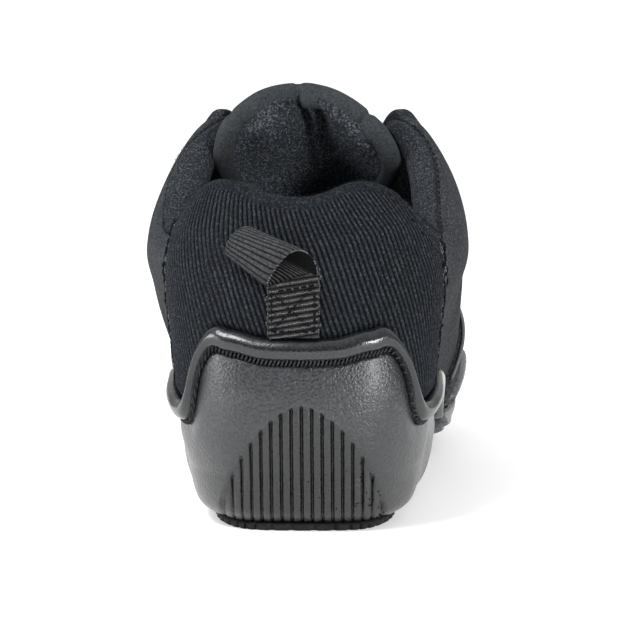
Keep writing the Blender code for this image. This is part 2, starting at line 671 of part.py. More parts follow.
def build_tongue(length=14, across=11):
    """Padded tongue, arched across, thinner at its bound edge."""
    x, u, z, half, curl, thick = (column[:, None] for column in smooth_rows(TONGUE, length))
    b = np.linspace(-1, 1, across)[None, :]
    du, dz = np.gradient(u, axis=0), np.gradient(z, axis=0)
    size = np.hypot(du, dz)
    nu, nz = dz / size, -du / size
    def face(depth):
        drop = curl * (half * b / TONGUE_HALF) ** 2 + depth
        return np.stack(np.broadcast_arrays(x + half * b, u - nu * drop, z - nz * drop), -1)
    edge = 1 - 0.55 * b ** 6
    slab("tongue", face(0.5 * thick * (1 - edge)), face(thick * (1 - 0.5 * (1 - edge))), "neoprene")


def behind_panel(x, z, behind):
    """Point at a distance behind the back panel's face."""
    s = np.asarray(x, float) / (2 * HALF_ROUND)
    face = upper_at(s, t_at_height(s, np.asarray(z, float)))
    return np.stack([x, face[..., 1] - SEAT_GAP - PANEL_THICK - behind, z], -1)


def build_pull_tab():
    """Two layers of webbing sewn flat on the back panel."""
    z = np.linspace(*TAB_HEIGHTS, 4)
    path = behind_panel(np.full_like(z, TAB_X), z, GAP + WEB_THICK)
    wide = np.zeros((len(z), 3)) + (WEB_HALF, 0.0, 0.0)
    wide[-1, 2] = TAB_SLANT
    strap_solid("pull_tab", path, wide, 2 * WEB_THICK, "webbing")


def build_pull_loop(sides=20):
    """The webbing's free loop, a flattened tube that leans to one side."""
    middle = behind_panel(LOOP_X, LOOP_Z, LOOP_BEHIND)
    along = np.array([math.cos(LOOP_TILT), 0.0, -math.sin(LOOP_TILT)])
    across = np.array([math.sin(LOOP_TILT), 0.0, math.cos(LOOP_TILT)])
    back = np.array([0.0, -1.0, 0.0])
    profiles = []
    for k in range(sides):
        turn = 2 * math.pi * k / sides
        outer, inner = (middle + across * (LOOP_TALL - inset) * math.cos(turn)
                        + back * (LOOP_DEEP - inset) * math.sin(turn) for inset in (0.0, WEB_THICK))
        right = along * (LOOP_LENGTH + LOOP_SKEW * math.cos(turn))
        left = along * LOOP_LENGTH
        profiles.append([outer - left, outer + right, inner + right, inner - left])
    swept_solid("pull_loop", np.array(profiles), "webbing", closed=True, spined=False)


def main():
    for thing in list(bpy.data.objects):
        bpy.data.objects.remove(thing, do_unlink=True)
    build_upper()
    build_heel_cup()
    build_forefoot_sole()
    build_treads()
    build_arch_panel()
    build_insole()
    build_back_panel()
    build_toe_guard()
    build_eyestay()
    build_tongue()
    build_lacing()
    build_pull_tab()
    build_pull_loop()


main()
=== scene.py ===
"""Looks of the dance sneaker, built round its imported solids.

Sizes are millimetres and become metres when a mesh is made. u runs from the back of the heel to
the toe, x to the lateral side, z up. s goes once round the shoe from the back of the heel by the
lateral side. q goes from the feather edge (0) up the outer face to the opening's edge (1), over
the rolled edge (2) and down the inner face (3).
"""
import math
from collections import namedtuple

import bmesh
import bpy
import numpy as np
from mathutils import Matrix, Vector, noise


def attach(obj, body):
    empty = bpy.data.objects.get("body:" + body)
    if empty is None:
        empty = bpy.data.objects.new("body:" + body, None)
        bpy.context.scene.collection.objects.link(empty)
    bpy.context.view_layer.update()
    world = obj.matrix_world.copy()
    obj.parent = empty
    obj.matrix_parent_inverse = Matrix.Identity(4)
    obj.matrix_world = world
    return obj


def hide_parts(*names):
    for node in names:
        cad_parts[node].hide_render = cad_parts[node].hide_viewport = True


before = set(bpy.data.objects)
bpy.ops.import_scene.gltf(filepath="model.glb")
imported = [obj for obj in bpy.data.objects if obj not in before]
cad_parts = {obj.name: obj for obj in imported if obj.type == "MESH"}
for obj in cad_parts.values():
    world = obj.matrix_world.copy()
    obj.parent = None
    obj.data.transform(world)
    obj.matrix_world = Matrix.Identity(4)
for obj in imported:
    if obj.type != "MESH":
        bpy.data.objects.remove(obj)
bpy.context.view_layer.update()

MM = 0.001
GAP = 0.3                 # clearance between neighbouring pieces
SEAT_GAP = 0.7            # and round the upper inside the sole units, where facets differ
CENTRE_X = 0.18           # plan centre of the finished shoe, where the origin stands
CENTRE_U = 129.49

WALL = 2.5                # upper, below the padding
PAD_START = 0.45          # share of the height where the collar's padding begins
CUP_WALL = 3.2            # moulded heel cup
HEEL_TREAD = 2.0
FORE_TREAD = 3.0
HEEL_TREAD_INSET = 4.4    # treads inside the feather edge, and inside the ends of the sole units
FORE_TREAD_INSET = 1.2
TREAD_END = 3.0
TOE_SPRING = 7.0
SPRING_START = 215.0      # u where the toe begins to lift
REAR_LIFT = 3.0           # lift of the forefoot unit's rear end
REAR_START = 182.0        # u where that lift begins, towards the heel
REAR_END = 150.0
TOE_END = 262.0
ARCH_THICK = 2.0
INSOLE_THICK = 4.0
PANEL_THICK = 1.2         # overlays on the upper

HEEL_END = 113.0          # distance round the shoe, heel back to the front of the heel cup
FORE_START = 163.0        # and to the rear of the forefoot unit
END_LEAN = 7.0            # how far those ends draw back at the floor
HEEL_SPINE = 24.0         # ends of the middle line on which floors and plates meet
TOE_SPINE = 236.0

RIB_PITCH = 2.8
DOME_HALF = 24.0          # ribbed dome on the cup's back: half width, height and roundness
DOME_HEIGHT = 36.5
DOME_POWER = 1.65

LOBE = 2.4                # swelling of the forefoot unit's side
LOBE_PITCH = 27.0
LOBE_POWER = 0.6          # below 1 the lobes are blunt

WEB_THICK = 1.1           # pull loop webbing, two layers of it in the sewn tab
WEB_HALF = 7.0
TAB_X = -2.2

LACE_WIDTH = 6.0
LACE_THICK = 1.4
LACE_BOW = 2.2            # rise of a lace bar at its middle
EYELET_OUTER = 3.0
EYELET_INNER = 1.6
EYELET_THICK = 0.8
EYELET_INSET = 7.0        # from the throat edge
EYELETS = 5
EYELET_SPAN = (120.0, 162.0)  # stations of the first and last pair

# One section of the upper. u, lateral and medial place the widest line in plan and belly is its
# height. tuck sets the feather edge inside that line, and flare the point halfway up to it.
# edge_* is the opening's edge, crown the fullness from belly to edge, rim the wall at the edge.
Section = namedtuple("Section", "u lateral medial belly tuck flare "
                     "edge_u edge_lateral edge_medial edge_z crown rim")
SECTIONS = [
    Section(3.4, 0.0, 0.0, 38, 5.0, 1.5, 9.0, -2.0, 2.0, 88.5, 1.5, 7.0),           # heel back
    Section(7.2, 21.5, 21.5, 40, 5.0, 1.5, 13.0, 10.0, 14.0, 90.7, 2.0, 7.0),       # heel quarter
    Section(25.0, 33.0, 33.0, 48, 5.5, 1.2, 23.0, 22.0, 25.0, 92.5, 4.0, 7.0),      # heel side
    Section(50.0, 39.0, 39.5, 62, 9.0, 5.0, 43.0, 36.5, 37.0, 79.5, 1.5, 8.0),      # ankle dip
    Section(72.0, 45.5, 46.5, 71, 13.0, 9.0, 62.0, 40.5, 41.5, 82.5, 1.5, 9.0),     # ankle
    Section(95.0, 46.2, 46.8, 70, 12.5, 8.0, 87.0, 38.5, 38.5, 98.5, 2.5, 8.5),     # collar front
    Section(118.0, 45.0, 43.5, 52, 10.0, 4.5, 103.0, 28.0, 28.0, 108.5, 6.0, 6.0),  # eyestay top
    Section(142.0, 44.5, 42.0, 37, 7.5, 2.5, 125.0, 20.0, 20.0, 95.5, 6.0, 3.5),    # instep
    Section(172.0, 44.0, 43.5, 30, 6.0, 1.8, 146.0, 16.0, 16.0, 79.5, 5.0, 3.0),    # ball
    Section(212.0, 38.5, 41.0, 27, 5.0, 1.5, 164.0, 11.5, 11.5, 67.5, 6.0, 3.0),    # toe side
    Section(243.0, 20.0, 30.5, 26, 4.0, 1.0, 171.5, 5.5, 5.5, 63.8, 6.5, 3.0),      # toe front
    Section(258.0, -7.0, 7.0, 27, 4.0, 1.0, 173.0, 0.0, 0.0, 63.0, 6.5, 3.0),       # toe tip
]

# Height of the feather edge, where the upper stands on the sole, at a station.
Feather = namedtuple("Feather", "u z")
FEATHER = [Feather(0, 16), Feather(60, 16), Feather(100, 17), Feather(125, 15.6), Feather(150, 12.2),
           Feather(172, 10.2), Feather(205, 10), Feather(235, 11.5), Feather(262, 14.5)]

# Height of a sole unit's rim at a distance round the shoe from the back of the heel.
Rim = namedtuple("Rim", "reach z")
CUP_RIM = [Rim(0, 54.2), Rim(11, 54.8), Rim(19, 56.6), Rim(25, 56.2), Rim(28, 50.5), Rim(30.8, 42.5),
           Rim(34.5, 36.8), Rim(39, 35.2), Rim(46, 36.5), Rim(58, 38.5), Rim(72, 39.5), Rim(92, 35),
           Rim(113, 21)]
FORE_RIM = [Rim(163, 20), Rim(178, 27), Rim(192, 30.5), Rim(210, 28), Rim(228, 25.5), Rim(250, 28),
            Rim(275, 33), Rim(300, 35)]
GUARD_TOP = [Rim(150, 24), Rim(165, 38), Rim(185, 47), Rim(215, 44), Rim(245, 44), Rim(300, 48)]

# Levels of a sole unit's outer wall, bottom to rim. A level's height is
# low + share * (rim - low) - drop, and out is its distance beyond the upper's side.
Level = namedtuple("Level", "low share drop out swell")
CUP_LEVELS = [
    Level(2.3, 0.0, 0.0, -4.5, 0),
    Level(3.2, 0.0, 0.0, -2.2, 0),
    Level(5.5, 0.0, 0.0, 0.6, 0),
    Level(10.0, 0.0, 0.0, 2.2, 0),
    Level(16.0, 0.0, 0.0, 3.1, 0),
    Level(16.0, 0.16, 1.0, CUP_WALL, 0),
    Level(16.0, 0.32, 1.9, CUP_WALL, 0),
    Level(16.0, 0.45, 2.7, CUP_WALL, 0),
    Level(16.0, 0.55, 3.3, CUP_WALL, 0),
    Level(16.0, 0.63, 3.8, CUP_WALL, 0),
    Level(16.0, 0.80, 4.8, CUP_WALL, 0),
    Level(16.0, 1.0, 6.0, CUP_WALL, 0),
    Level(16.0, 1.0, 5.2, 2.4, 0),       # stitch groove
    Level(16.0, 1.0, 4.3, 4.4, 0),       # bead
    Level(16.0, 1.0, 2.2, 5.0, 0),
    Level(16.0, 1.0, 0.5, 4.2, 0),
    Level(16.0, 1.0, 0.0, 2.6, 0),
]
FORE_LEVELS = [
    Level(0.0, 0.0, 0.0, -1.0, 0.0),
    Level(0.0, 0.05, 0.0, 1.2, 0.3),
    Level(0.0, 0.16, 0.0, 2.4, 0.9),
    Level(0.0, 0.30, 0.0, 2.8, 1.0),
    Level(0.0, 0.46, 0.0, 2.6, 0.75),
    Level(0.0, 0.57, 0.0, 2.2, 0.0),     # crease above the lobes
    Level(0.0, 0.66, 0.0, 3.0, 0.0),
    Level(0.0, 1.0, 6.0, 2.8, 0.0),
    Level(0.0, 1.0, 5.2, 2.0, 0.0),      # stitch groove
    Level(0.0, 1.0, 4.3, 3.4, 0.0),      # bead
    Level(0.0, 1.0, 2.2, 3.8, 0.0),
    Level(0.0, 1.0, 0.5, 3.2, 0.0),
    Level(0.0, 1.0, 0.0, 2.0, 0.0),
]
BAND_FULL = 20.0          # wall height above which the bead has its full depth
RIM_ROUND = 0.6           # drop from the bead's top to its inner edge

# The tongue from root to tip: centre line, half width, drop at the full half width, thickness.
TONGUE_HALF = 29.0
TongueRow = namedtuple("TongueRow", "x u z half curl thick")
TONGUE = [
    TongueRow(0.0, 186.0, 52.0, 14.0, 14.0, 3.0),
    TongueRow(0.0, 168.0, 57.5, 15.5, 14.0, 4.0),
    TongueRow(0.0, 143.0, 75.5, 17.0, 16.0, 5.0),
    TongueRow(-0.4, 120.0, 94.0, 21.0, 18.0, 6.0),
    TongueRow(-0.8, 105.0, 107.0, 26.0, 19.0, 7.0),
    TongueRow(-1.4, 98.5, 113.3, 25.5, 19.0, 7.0),
    TongueRow(-2.8, 95.2, 117.2, 20.5, 19.0, 6.5),
    TongueRow(-3.6, 93.5, 119.5, 9.0, 19.0, 5.0),
]

CAMERA_TURN = math.radians(1.8)      # the photo's camera, seen from the back of the heel
CAMERA_BACK = 850.0
CAMERA_HEIGHT = 157.0
CAMERA_PITCH = math.radians(6.53)
LENS_PX = 3190.0
IMAGE_PX = 640
HEEL_PX = 301.0           # the photo's column in which the back of the heel stands
SENSOR = 36.0

# Area lamps and the floor, in metres and watts.
Lamp = namedtuple("Lamp", "name place wide tall power")
LAMPS = [Lamp("top_box", (-0.36, -0.5, 0.78), 0.42, 0.3, 7.5),
         Lamp("left_box", (-0.95, -0.46, 0.3), 0.3, 0.5, 6.0),
         Lamp("right_box", (0.66, -0.76, 0.22), 0.18, 0.3, 7.0)]
LAMP_TARGET = (0, -0.1, 0.05)
FLOOR_RADIUS = 30
FLOOR_SIDES = 96
FLOOR_GLOW = 0.36

# Heel cup
RIB_ZONE = 26.0           # half width of the finely divided part, the s that it lies within, and its step
RIB_SPAN = 0.13
RIB_STEP = 0.2
GROOVE_WIDTH = 0.36       # of the heel's ribs
GROOVE_DEPTH = 1.15
DOME_STEP = 0.75          # depth and width of the step round the ribbed dome, and how much darker that is
DOME_EDGE = 0.7
DOME_DARK = 0.62
PLAIN_LIFT = 0.7          # lift of the cup's plain wall, below that of the dome's border, which carries a painted highlight
SPECK_HEIGHT = 24.0       # dark specks lie below this, and their number changes e times over
SPECK_DRIFT = 9.0         # this distance to the side and this one upwards
SPECK_FALL = 14.0
SPECK_RADIUS = 0.2
BAND_SHARE = 0.97         # share of the wall above which a level belongs to the groove and the bead
BEAD_STRETCH = 1.2        # how much taller the soft bead is than the solid, and how much prouder
BEAD_SWELL = 0.35
BEAD_FOOT = 5.6           # below the rim
SEAM_DROP = 6.4           # of the stitch groove below the rim, its half height, added depth and painted shade
SEAM_HALF = 0.85
SEAM_DEPTH = 0.8
SEAM_DARK = 0.8
PILLOW = 1.3              # how far the wall rounds in under the groove, and the share where that starts
PILLOW_START = 0.5

# Forefoot unit, treads and insole
Groove = namedtuple("Groove", "share half depth")
FORE_GROOVES = [Groove(0.13, 0.03, 1.1), Groove(0.57, 0.035, 1.9)]  # by share of the wall's height
BAR_PITCH = 5.6           # of the treads' wavy bars, how far they wave, over which length, and their depth
BAR_WAVE = 1.6
BAR_WAVE_LENGTH = 5.0
BAR_DEPTH = 0.8
NOTCH_PITCH = 6.0         # of the treads' edges, half width and depth
NOTCH_HALF = 0.8
NOTCH_DEPTH = 1.0
PLATE_FLAT = 0.94         # share of a plate's half width that is flat, where its edge rounds off, and how far
PLATE_TURN = 0.97
PLATE_ROUND = 0.35
INSOLE_EDGE = 0.2         # soft edge against the upper's wall
INSOLE_DISH = 1.2         # rise of its edge
ARCH_END = 1.0            # from the arch panel to the sole units
ARCH_RIB = 0.2

# Upper, heel panel and overlays
LINING_PILE = [(1.4, 0.35), (5.0, 0.25)]  # sizes and heights of tufts and clumps, and the pile's depth
LINING_DEPTH = 0.4
PAD_FULL = 0.9            # share of the height where the collar's padding is full
PAD_SWELL = 2.2           # of the collar beside the tongue, its place round the shoe and half length
PAD_REACH = 108.0
PAD_LENGTH = 26.0
PAD_Q = 1.9               # and its middle and half width in q
PAD_SPREAD = 0.55
CREASE_BEND = 0.02        # curve of the creases
COLLAR_SEAM = 0.6         # depth of the seam between outer cloth and lining
TWILL_PITCH = 1.5
TWILL_SLANT = math.tan(math.radians(17))
TWILL_HEIGHT = 0.42
TWILL_TOP = 0.85          # q above which the ribs run straight on over the roll
PANEL_FOOT = 52.0         # half length of the heel panel round the shoe, low down and at its top
PANEL_TOP = 66.0
PANEL_WAVES = [(17.0, 0.35), (8.0, 0.2)]  # sizes and heights
PANEL_TUCK = 2.2          # lengths in which it rises from the upper at its foot, sides and top
PANEL_SIDE = 0.9
PANEL_LIP = 0.5
PANEL_SEAM = 2.2          # from its sides and from its top to the stitch lines
PANEL_HEM = 2.6
HEM_Q = 0.11              # from the lining to the stitches on the panel and on the collar, in q
COLLAR_Q = 0.05
COLLAR_SPAN = (72, 128)   # of the collar's stitches round the shoe
SEAM_BESIDE = 0.955       # share of its half length where the side seams run
SKIN = 0.02               # from the upper to the backs of overlays, and to their edges
OVERLAY_EDGE = 0.1
GUARD_START = 150.0       # of the toe guard round the shoe
GUARD_RISE = 5.0          # of its rear end, where that is highest, and its half length
GUARD_REACH = 164.0
GUARD_LENGTH = 22.0
STAY_START = 134.0        # of the eyestay round the shoe, its width, and the q to which it turns in
STAY_WIDTH = 15.5
STAY_Q = 1.42

# Tongue and its band, by shares of its length
TONGUE_END = 0.992
TONGUE_PILE = [(1.4, 0.4), (6.0, 0.3)]
FOLD_MIDDLE = 0.74        # of the lining's folds, and their half length
FOLD_LENGTH = 0.17
BINDING_START = 0.42
BINDING_HALF = (2.4, 1.3)  # half width in millimetres at the ends and added at the top, half depth
BINDING_DEEP = (2.0, 0.6)
BINDING_IN = 0.55         # share of the half width by which it lies inside the edge

# Webbing, stitches and lace
LOOP_RIBS = 30
LOOP_RIB_HEIGHT = 0.22
TAB_PITCH = 1.55
TAB_FOOT_Z = 54.9         # just above the cup's rim
TAB_TOP = 70.6            # top of the sewn tab, and its rise to the lateral side
TAB_RISE = 2.3
TAB_RIB_HEIGHT = 0.3
TAB_BOX = [(-8.0, 56.6), (3.6, 56.6), (3.6, 69.0), (-8.0, 67.0)]  # corners of the sewn box, x and z
BOX_RUNS = [(0, 1), (1, 2), (2, 3), (3, 0), (0, 2), (1, 3)]
YARN_RADIUS = 0.15
YARN_STEP = 0.094         # along the tab, by its half width, and a yarn's length
YARN_LENGTH = 0.068
CUP_STITCH = (Level(16.0, 1.0, 7.2, 2.5, 0), Level(16.0, 1.0, 5.5, 3.5, 0))  # lower and upper ends
FORE_STITCH = (Level(0.0, 1.0, 7.2, 2.7, 0), Level(0.0, 1.0, 5.5, 2.8, 0))
STITCH_END = 4.0          # from the ends of the sole units
STITCH_PITCH = 1.05
STITCH_SLANT = 0.75
SOLE_THREAD = 0.25        # radius of threads
PANEL_THREAD = 0.22
TAB_THREAD = 0.36
PANEL_DASH = (1.7, 0.9)   # length of a stitch and the gap after it
TAB_DASH = (1.7, 0.4)
SELVEDGE_STEP = 0.62
LACE_HOLE = 1.6           # how far a lace end reaches into its eyelet, and lies on the way to the edge
LACE_LIE = 2.2
LACE_RIB = 1.1            # pitch of the lace's ribs
LACE_PINCH = 0.42         # share of the lace's width in an eyelet, and of its length that narrows
LACE_NARROW = 0.17
RING_WIDE = 0.7           # half sizes of a rolled eyelet ring, and how far it stands out
RING_TALL = 0.5
RING_RISE = 0.25
FUZZ_COUNT = 14000        # loose fibres, how far they spread round the shoe, and half their width
FUZZ_REACH = 150
FUZZ_HALF = 0.055

# Soft troughs (negative) and ridges on the upper: middle as distance round the shoe (medial side
# negative) and q, its run's angle from level, half length, half width and height.
Crease = namedtuple("Crease", "reach q angle length width height")
CREASES = [
    Crease(92, 0.62, 20, 16, 5.0, -0.45),
    Crease(-92, 0.60, 18, 18, 5.0, -0.45),
    Crease(84, 0.78, -12, 14, 6.0, 0.3),
    Crease(-86, 0.80, -10, 16, 6.0, 0.3),
    Crease(104, 0.45, 35, 13, 5.0, -0.5),
    Crease(-104, 0.44, 30, 14, 5.0, -0.5),
    Crease(96, 0.45, 80, 15, 15.0, 1.0),
    Crease(-96, 0.43, 80, 16, 16.0, 2.6),
    Crease(132, 0.55, 60, 16, 4.0, -1.22),
    Crease(-132, 0.55, 58, 16, 4.0, -1.22),
    Crease(150, 0.60, 66, 15, 3.5, 0.94),
    Crease(-150, 0.60, 64, 15, 3.5, 0.94),
    Crease(188, 0.62, 82, 17, 3.6, -1.62),
    Crease(-188, 0.62, 82, 17, 3.6, -1.62),
    Crease(198, 0.60, 84, 16, 3.2, 1.22),
    Crease(-198, 0.60, 84, 16, 3.2, 1.22),
    Crease(208, 0.64, 84, 14, 3.4, -1.08),
    Crease(-208, 0.64, 84, 14, 3.4, -1.08),
]

# q where the lining takes over from the outer cloth on each side at a distance round the shoe.
LiningRow = namedtuple("LiningRow", "reach lateral medial")
LINING = [LiningRow(0, 1.22, 1.22), LiningRow(34, 1.22, 1.22), LiningRow(42, 1.08, 1.22),
          LiningRow(50, 0.95, 1.2), LiningRow(60, 0.94, 1.1), LiningRow(70, 1.0, 0.97),
          LiningRow(82, 1.2, 0.90), LiningRow(100, 1.30, 0.88), LiningRow(110, 1.30, 0.95),
          LiningRow(120, 1.36, 1.3), LiningRow(132, 1.5, 1.5), LiningRow(300, 1.6, 1.6)]

# Soft pads and the cleft between them on the tongue's lining, across its half width.
Fold = namedtuple("Fold", "b width height")
TONGUE_FOLDS = [Fold(-0.42, 0.28, 5.5), Fold(-0.01, 0.07, -3.6), Fold(0.09, 0.05, 1.0),
                Fold(0.19, 0.07, -3.0), Fold(0.58, 0.28, 5.0)]

# Creases across the band round the tongue's edge, at a share of its length.
BandCrease = namedtuple("BandCrease", "share width depth")
BAND_CREASES = [BandCrease(0.49, 0.006, 0.46), BandCrease(0.515, 0.012, -0.06), BandCrease(0.66, 0.007, 0.42),
                BandCrease(0.70, 0.014, -0.07), BandCrease(0.33, 0.008, 0.26), BandCrease(0.40, 0.02, -0.05)]

# The pull loop's open end and far end, once round: x, distance behind the panel, z at each.
LoopRim = namedtuple("LoopRim", "open_x open_behind open_z far_x far_behind far_z")
LOOP_RIM = [
    LoopRim(-9.4, 2.6, 68.8, -20.9, 4.3, 77.6),
    LoopRim(-7.7, 4.8, 72.8, -20.4, 5.0, 79.8),
    LoopRim(-4.6, 6.4, 76.8, -19.0, 5.4, 82.2),
    LoopRim(-1.4, 7.2, 78.8, -17.2, 5.3, 84.0),
    LoopRim(1.5, 6.8, 78.4, -15.3, 4.7, 84.9),
    LoopRim(3.9, 5.4, 75.8, -14.4, 3.9, 84.6),
    LoopRim(4.9, 3.4, 72.0, -14.8, 3.2, 83.8),
    LoopRim(3.4, 2.0, 71.4, -16.2, 2.7, 82.4),
    LoopRim(0.0, 1.6, 71.0, -17.6, 2.6, 80.9),
    LoopRim(-3.6, 1.5, 70.0, -19.0, 2.8, 79.2),
    LoopRim(-7.0, 1.7, 68.8, -20.3, 3.4, 77.9),
]

LoopRow = namedtuple("LoopRow", "x u belly tuck flare edge_x edge_u edge_z crown rim")


def side_row(row, sign):
    """A section's values on the lateral side (sign 1) or the medial side (sign -1)."""
    x, edge_x = (row.lateral, row.edge_lateral) if sign > 0 else (-row.medial, -row.edge_medial)
    return LoopRow(x, row.u, row.belly, row.tuck, row.flare,
                   edge_x, row.edge_u, row.edge_z, row.crown, row.rim)


def hump(distance, width):
    """Bell curve, 1 at no distance."""
    return np.exp(-(distance / width) ** 2)


def ease(share):
    """Smooth step from 0 to 1."""
    share = np.clip(share, 0, 1)
    return share * share * (3 - 2 * share)


def run_length(points, axis=0):
    """Distance from the first point along a path, or along one axis of a grid of points."""
    run = np.cumsum(np.linalg.norm(np.diff(points, axis=axis), axis=-1), axis=axis)
    return np.concatenate([np.zeros_like(np.take(run, [0], axis)), run], axis=axis)


def loop_knots():
    """s of every row, heel back at 0 and toe tip at 0.5, and the length round half the shoe."""
    half = np.array([((row.lateral + row.medial) / 2, row.u) for row in SECTIONS])
    reach = run_length(half)
    side = reach / reach[-1] / 2
    return np.concatenate([side, 1.0 - side[-2:0:-1]]), reach[-1]


def closed_tangents(knots, rows):
    """Slopes that make a closed cubic through the rows smooth in slope and curvature."""
    step = np.diff(np.append(knots, 1.0))
    before = np.roll(step, 1)
    slope = (np.roll(rows, -1, 0) - rows) / step[:, None]
    index = np.arange(len(knots))
    system = np.diag(2 * (step + before))
    system[index, index - 1] += step
    system[index, (index + 1) % len(knots)] += before
    return np.linalg.solve(system, 3 * (step[:, None] * np.roll(slope, 1, 0) + before[:, None] * slope))


LOOP = np.array([side_row(row, 1) for row in SECTIONS]
                + [side_row(row, -1) for row in SECTIONS[-2:0:-1]])
KNOTS, HALF_ROUND = loop_knots()
TANGENTS = closed_tangents(KNOTS, LOOP)


def hermite(f, step, start, start_slope, end, end_slope):
    """Cubic between two values with given slopes, at the share f of the step."""
    return ((2 * f ** 3 - 3 * f ** 2 + 1) * start + (f ** 3 - 2 * f ** 2 + f) * step * start_slope
            + (3 * f ** 2 - 2 * f ** 3) * end + (f ** 3 - f ** 2) * step * end_slope)


def loop_at(s):
    """Section values at s."""
    s = np.asarray(s, float) % 1.0
    k = np.searchsorted(KNOTS, s, side="right") - 1
    after = (k + 1) % len(KNOTS)
    step = np.append(KNOTS, 1.0)[k + 1] - KNOTS[k]
    f = ((s - KNOTS[k]) / step)[..., None]
    value = hermite(f, step[..., None], LOOP[k], TANGENTS[k], LOOP[after], TANGENTS[after])
    return LoopRow(*np.moveaxis(value, -1, 0))


def table_at(rows, x):
    """Columns of an open table, read smoothly at x of its first column."""
    rows = np.array(rows, float)
    at, values = rows[:, 0], rows[:, 1:]
    slope = np.gradient(values, at, axis=0)
    x = np.clip(x, at[0], at[-1])
    k = np.clip(np.searchsorted(at, x, side="right") - 1, 0, len(at) - 2)
    step = (at[k + 1] - at[k])[..., None]
    f = (x - at[k])[..., None] / step
    return hermite(f, step, values[k], slope[k], values[k + 1], slope[k + 1])


def feather_height(u):
    """Height of the feather edge at a station."""
    return table_at(FEATHER, u)[..., 0]


def reach_of(s):
    """Distance round the shoe from the back of the heel, the same on both sides."""
    s = np.asarray(s, float) % 1.0
    return np.minimum(s, 1.0 - s) * 2 * HALF_ROUND


def s_of(reach):
    """s at a distance round the shoe from the back of the heel, negative on the medial side."""
    return reach / (2 * HALF_ROUND)


def plan_normal(s):
    """Outward direction in plan, x and u."""
    ahead, behind = loop_at(s + 1e-4), loop_at(s - 1e-4)
    across, forward = ahead.u - behind.u, behind.x - ahead.x
    length = np.hypot(across, forward)
    return across / length, forward / length


def unit(vector):
    return vector / np.linalg.norm(vector, axis=-1, keepdims=True)


def section_curve(points, t):
    """Smooth curve through the points of each column, at the share t of its length."""
    spans = np.linalg.norm(points[1:] - points[:-1], axis=-1)
    spans = spans / spans.sum(0)
    rises = (points[1:] - points[:-1]) / spans[..., None]
    weights = (spans[1:] / (spans[1:] + spans[:-1]))[..., None]
    middle = weights * rises[:-1] + (1 - weights) * rises[1:]
    slopes = np.concatenate([2 * rises[:1] - middle[:1], middle, 2 * rises[-1:] - middle[-1:]])
    knots = np.concatenate([np.zeros_like(spans[:1]), np.cumsum(spans, axis=0)])
    k = np.sum(t >= knots[1:-1], axis=0)
    def pick(values, shift=0):
        return np.take_along_axis(values, (k + shift)[None, ..., None], 0)[0]
    span = pick(spans[..., None])
    f = (t[..., None] - pick(knots[..., None])) / span
    return hermite(f, span, pick(points), pick(slopes), pick(points, 1), pick(slopes, 1))


def upper_at(s, t):
    """Point on the outer face of the upper, on a curve from the feather edge to the opening."""
    s, t = np.broadcast_arrays(np.asarray(s, float), np.asarray(t, float))
    row = loop_at(s)
    nx, nu = plan_normal(s)
    foot_u = row.u - row.tuck * nu
    feather = np.stack([row.x - row.tuck * nx, foot_u, feather_height(foot_u)], -1)
    belly = np.stack([row.x, row.u, row.belly], -1)
    middle = (feather[..., 2] + row.belly) / 2
    flare = np.stack([row.x - row.flare * nx, row.u - row.flare * nu, middle], -1)
    edge = np.stack([row.edge_x, row.edge_u, row.edge_z], -1)
    chord = unit(edge - belly)
    out = np.stack([0.6 * nx, 0.6 * nu, np.full_like(nx, 0.8)], -1)
    out = unit(out - chord * np.sum(out * chord, -1, keepdims=True))
    crown = (belly + edge) / 2 + out * row.crown[..., None]
    return section_curve(np.stack([feather, flare, belly, crown, edge]), t)


def upper_frame(s, t):
    """Outward normal of the upper's face and its direction towards the opening."""
    round_shoe = upper_at(s + 1e-4, t) - upper_at(s - 1e-4, t)
    upward = unit(upper_at(s, t + 1e-3) - upper_at(s, t - 1e-3))
    return unit(np.cross(round_shoe, upward)), upward


def wall_thickness(s, t):
    """Wall of the upper, growing into the padded collar."""
    return WALL + (loop_at(s).rim - WALL) * ease((t - PAD_START) / (PAD_FULL - PAD_START))


def t_at_height(s, z):
    """t where the upper's face stands at the height z."""
    low = np.zeros(np.broadcast(s, z).shape)
    high = low + 1.0
    for _ in range(24):
        middle = (low + high) / 2
        below = upper_at(s, middle)[..., 2] < z
        low = np.where(below, middle, low)
        high = np.where(below, high, middle)
    return (low + high) / 2


def beside_upper(s, z, out):
    """Point at height z, level with the upper's side plus out; below the feather edge, with that."""
    foot = upper_at(s, np.zeros_like(z))[..., 2]
    face = upper_at(s, t_at_height(s, np.maximum(z, foot)))
    nx, nu = plan_normal(s)
    return np.stack([face[..., 0] + out * nx, face[..., 1] + out * nu, np.broadcast_to(z, nx.shape)], -1)


def spine(s, back, front):
    """Plan points midway between the feather edges of both sides, kept between two stations."""
    half = np.linspace(0, 0.5, 201)
    middle = (upper_at(half, 0.0) + upper_at(1 - half, 0.0)) / 2
    beside = np.minimum(s % 1.0, 1 - s % 1.0)
    u = np.clip(np.interp(beside, half, middle[:, 1]), back, front)
    return np.stack([np.interp(u, middle[:, 1], middle[:, 0]), u], -1)


def raised(plan, z):
    """Plan points set at a height."""
    return np.column_stack([plan, np.broadcast_to(z, len(plan))])


def rim_height(rows, s):
    return table_at(rows, reach_of(s))[..., 0]


def level_point(level, rim_rows, base, s, extra=0.0):
    """Point of one wall level of a sole unit at s."""
    rim = rim_height(rim_rows, s)
    low = level.low + base
    depth = np.clip((rim - low) / BAND_FULL, 0.1, 1.0)
    z = low + level.share * (rim - low) - level.drop * depth
    return beside_upper(s, z, level.out + extra)


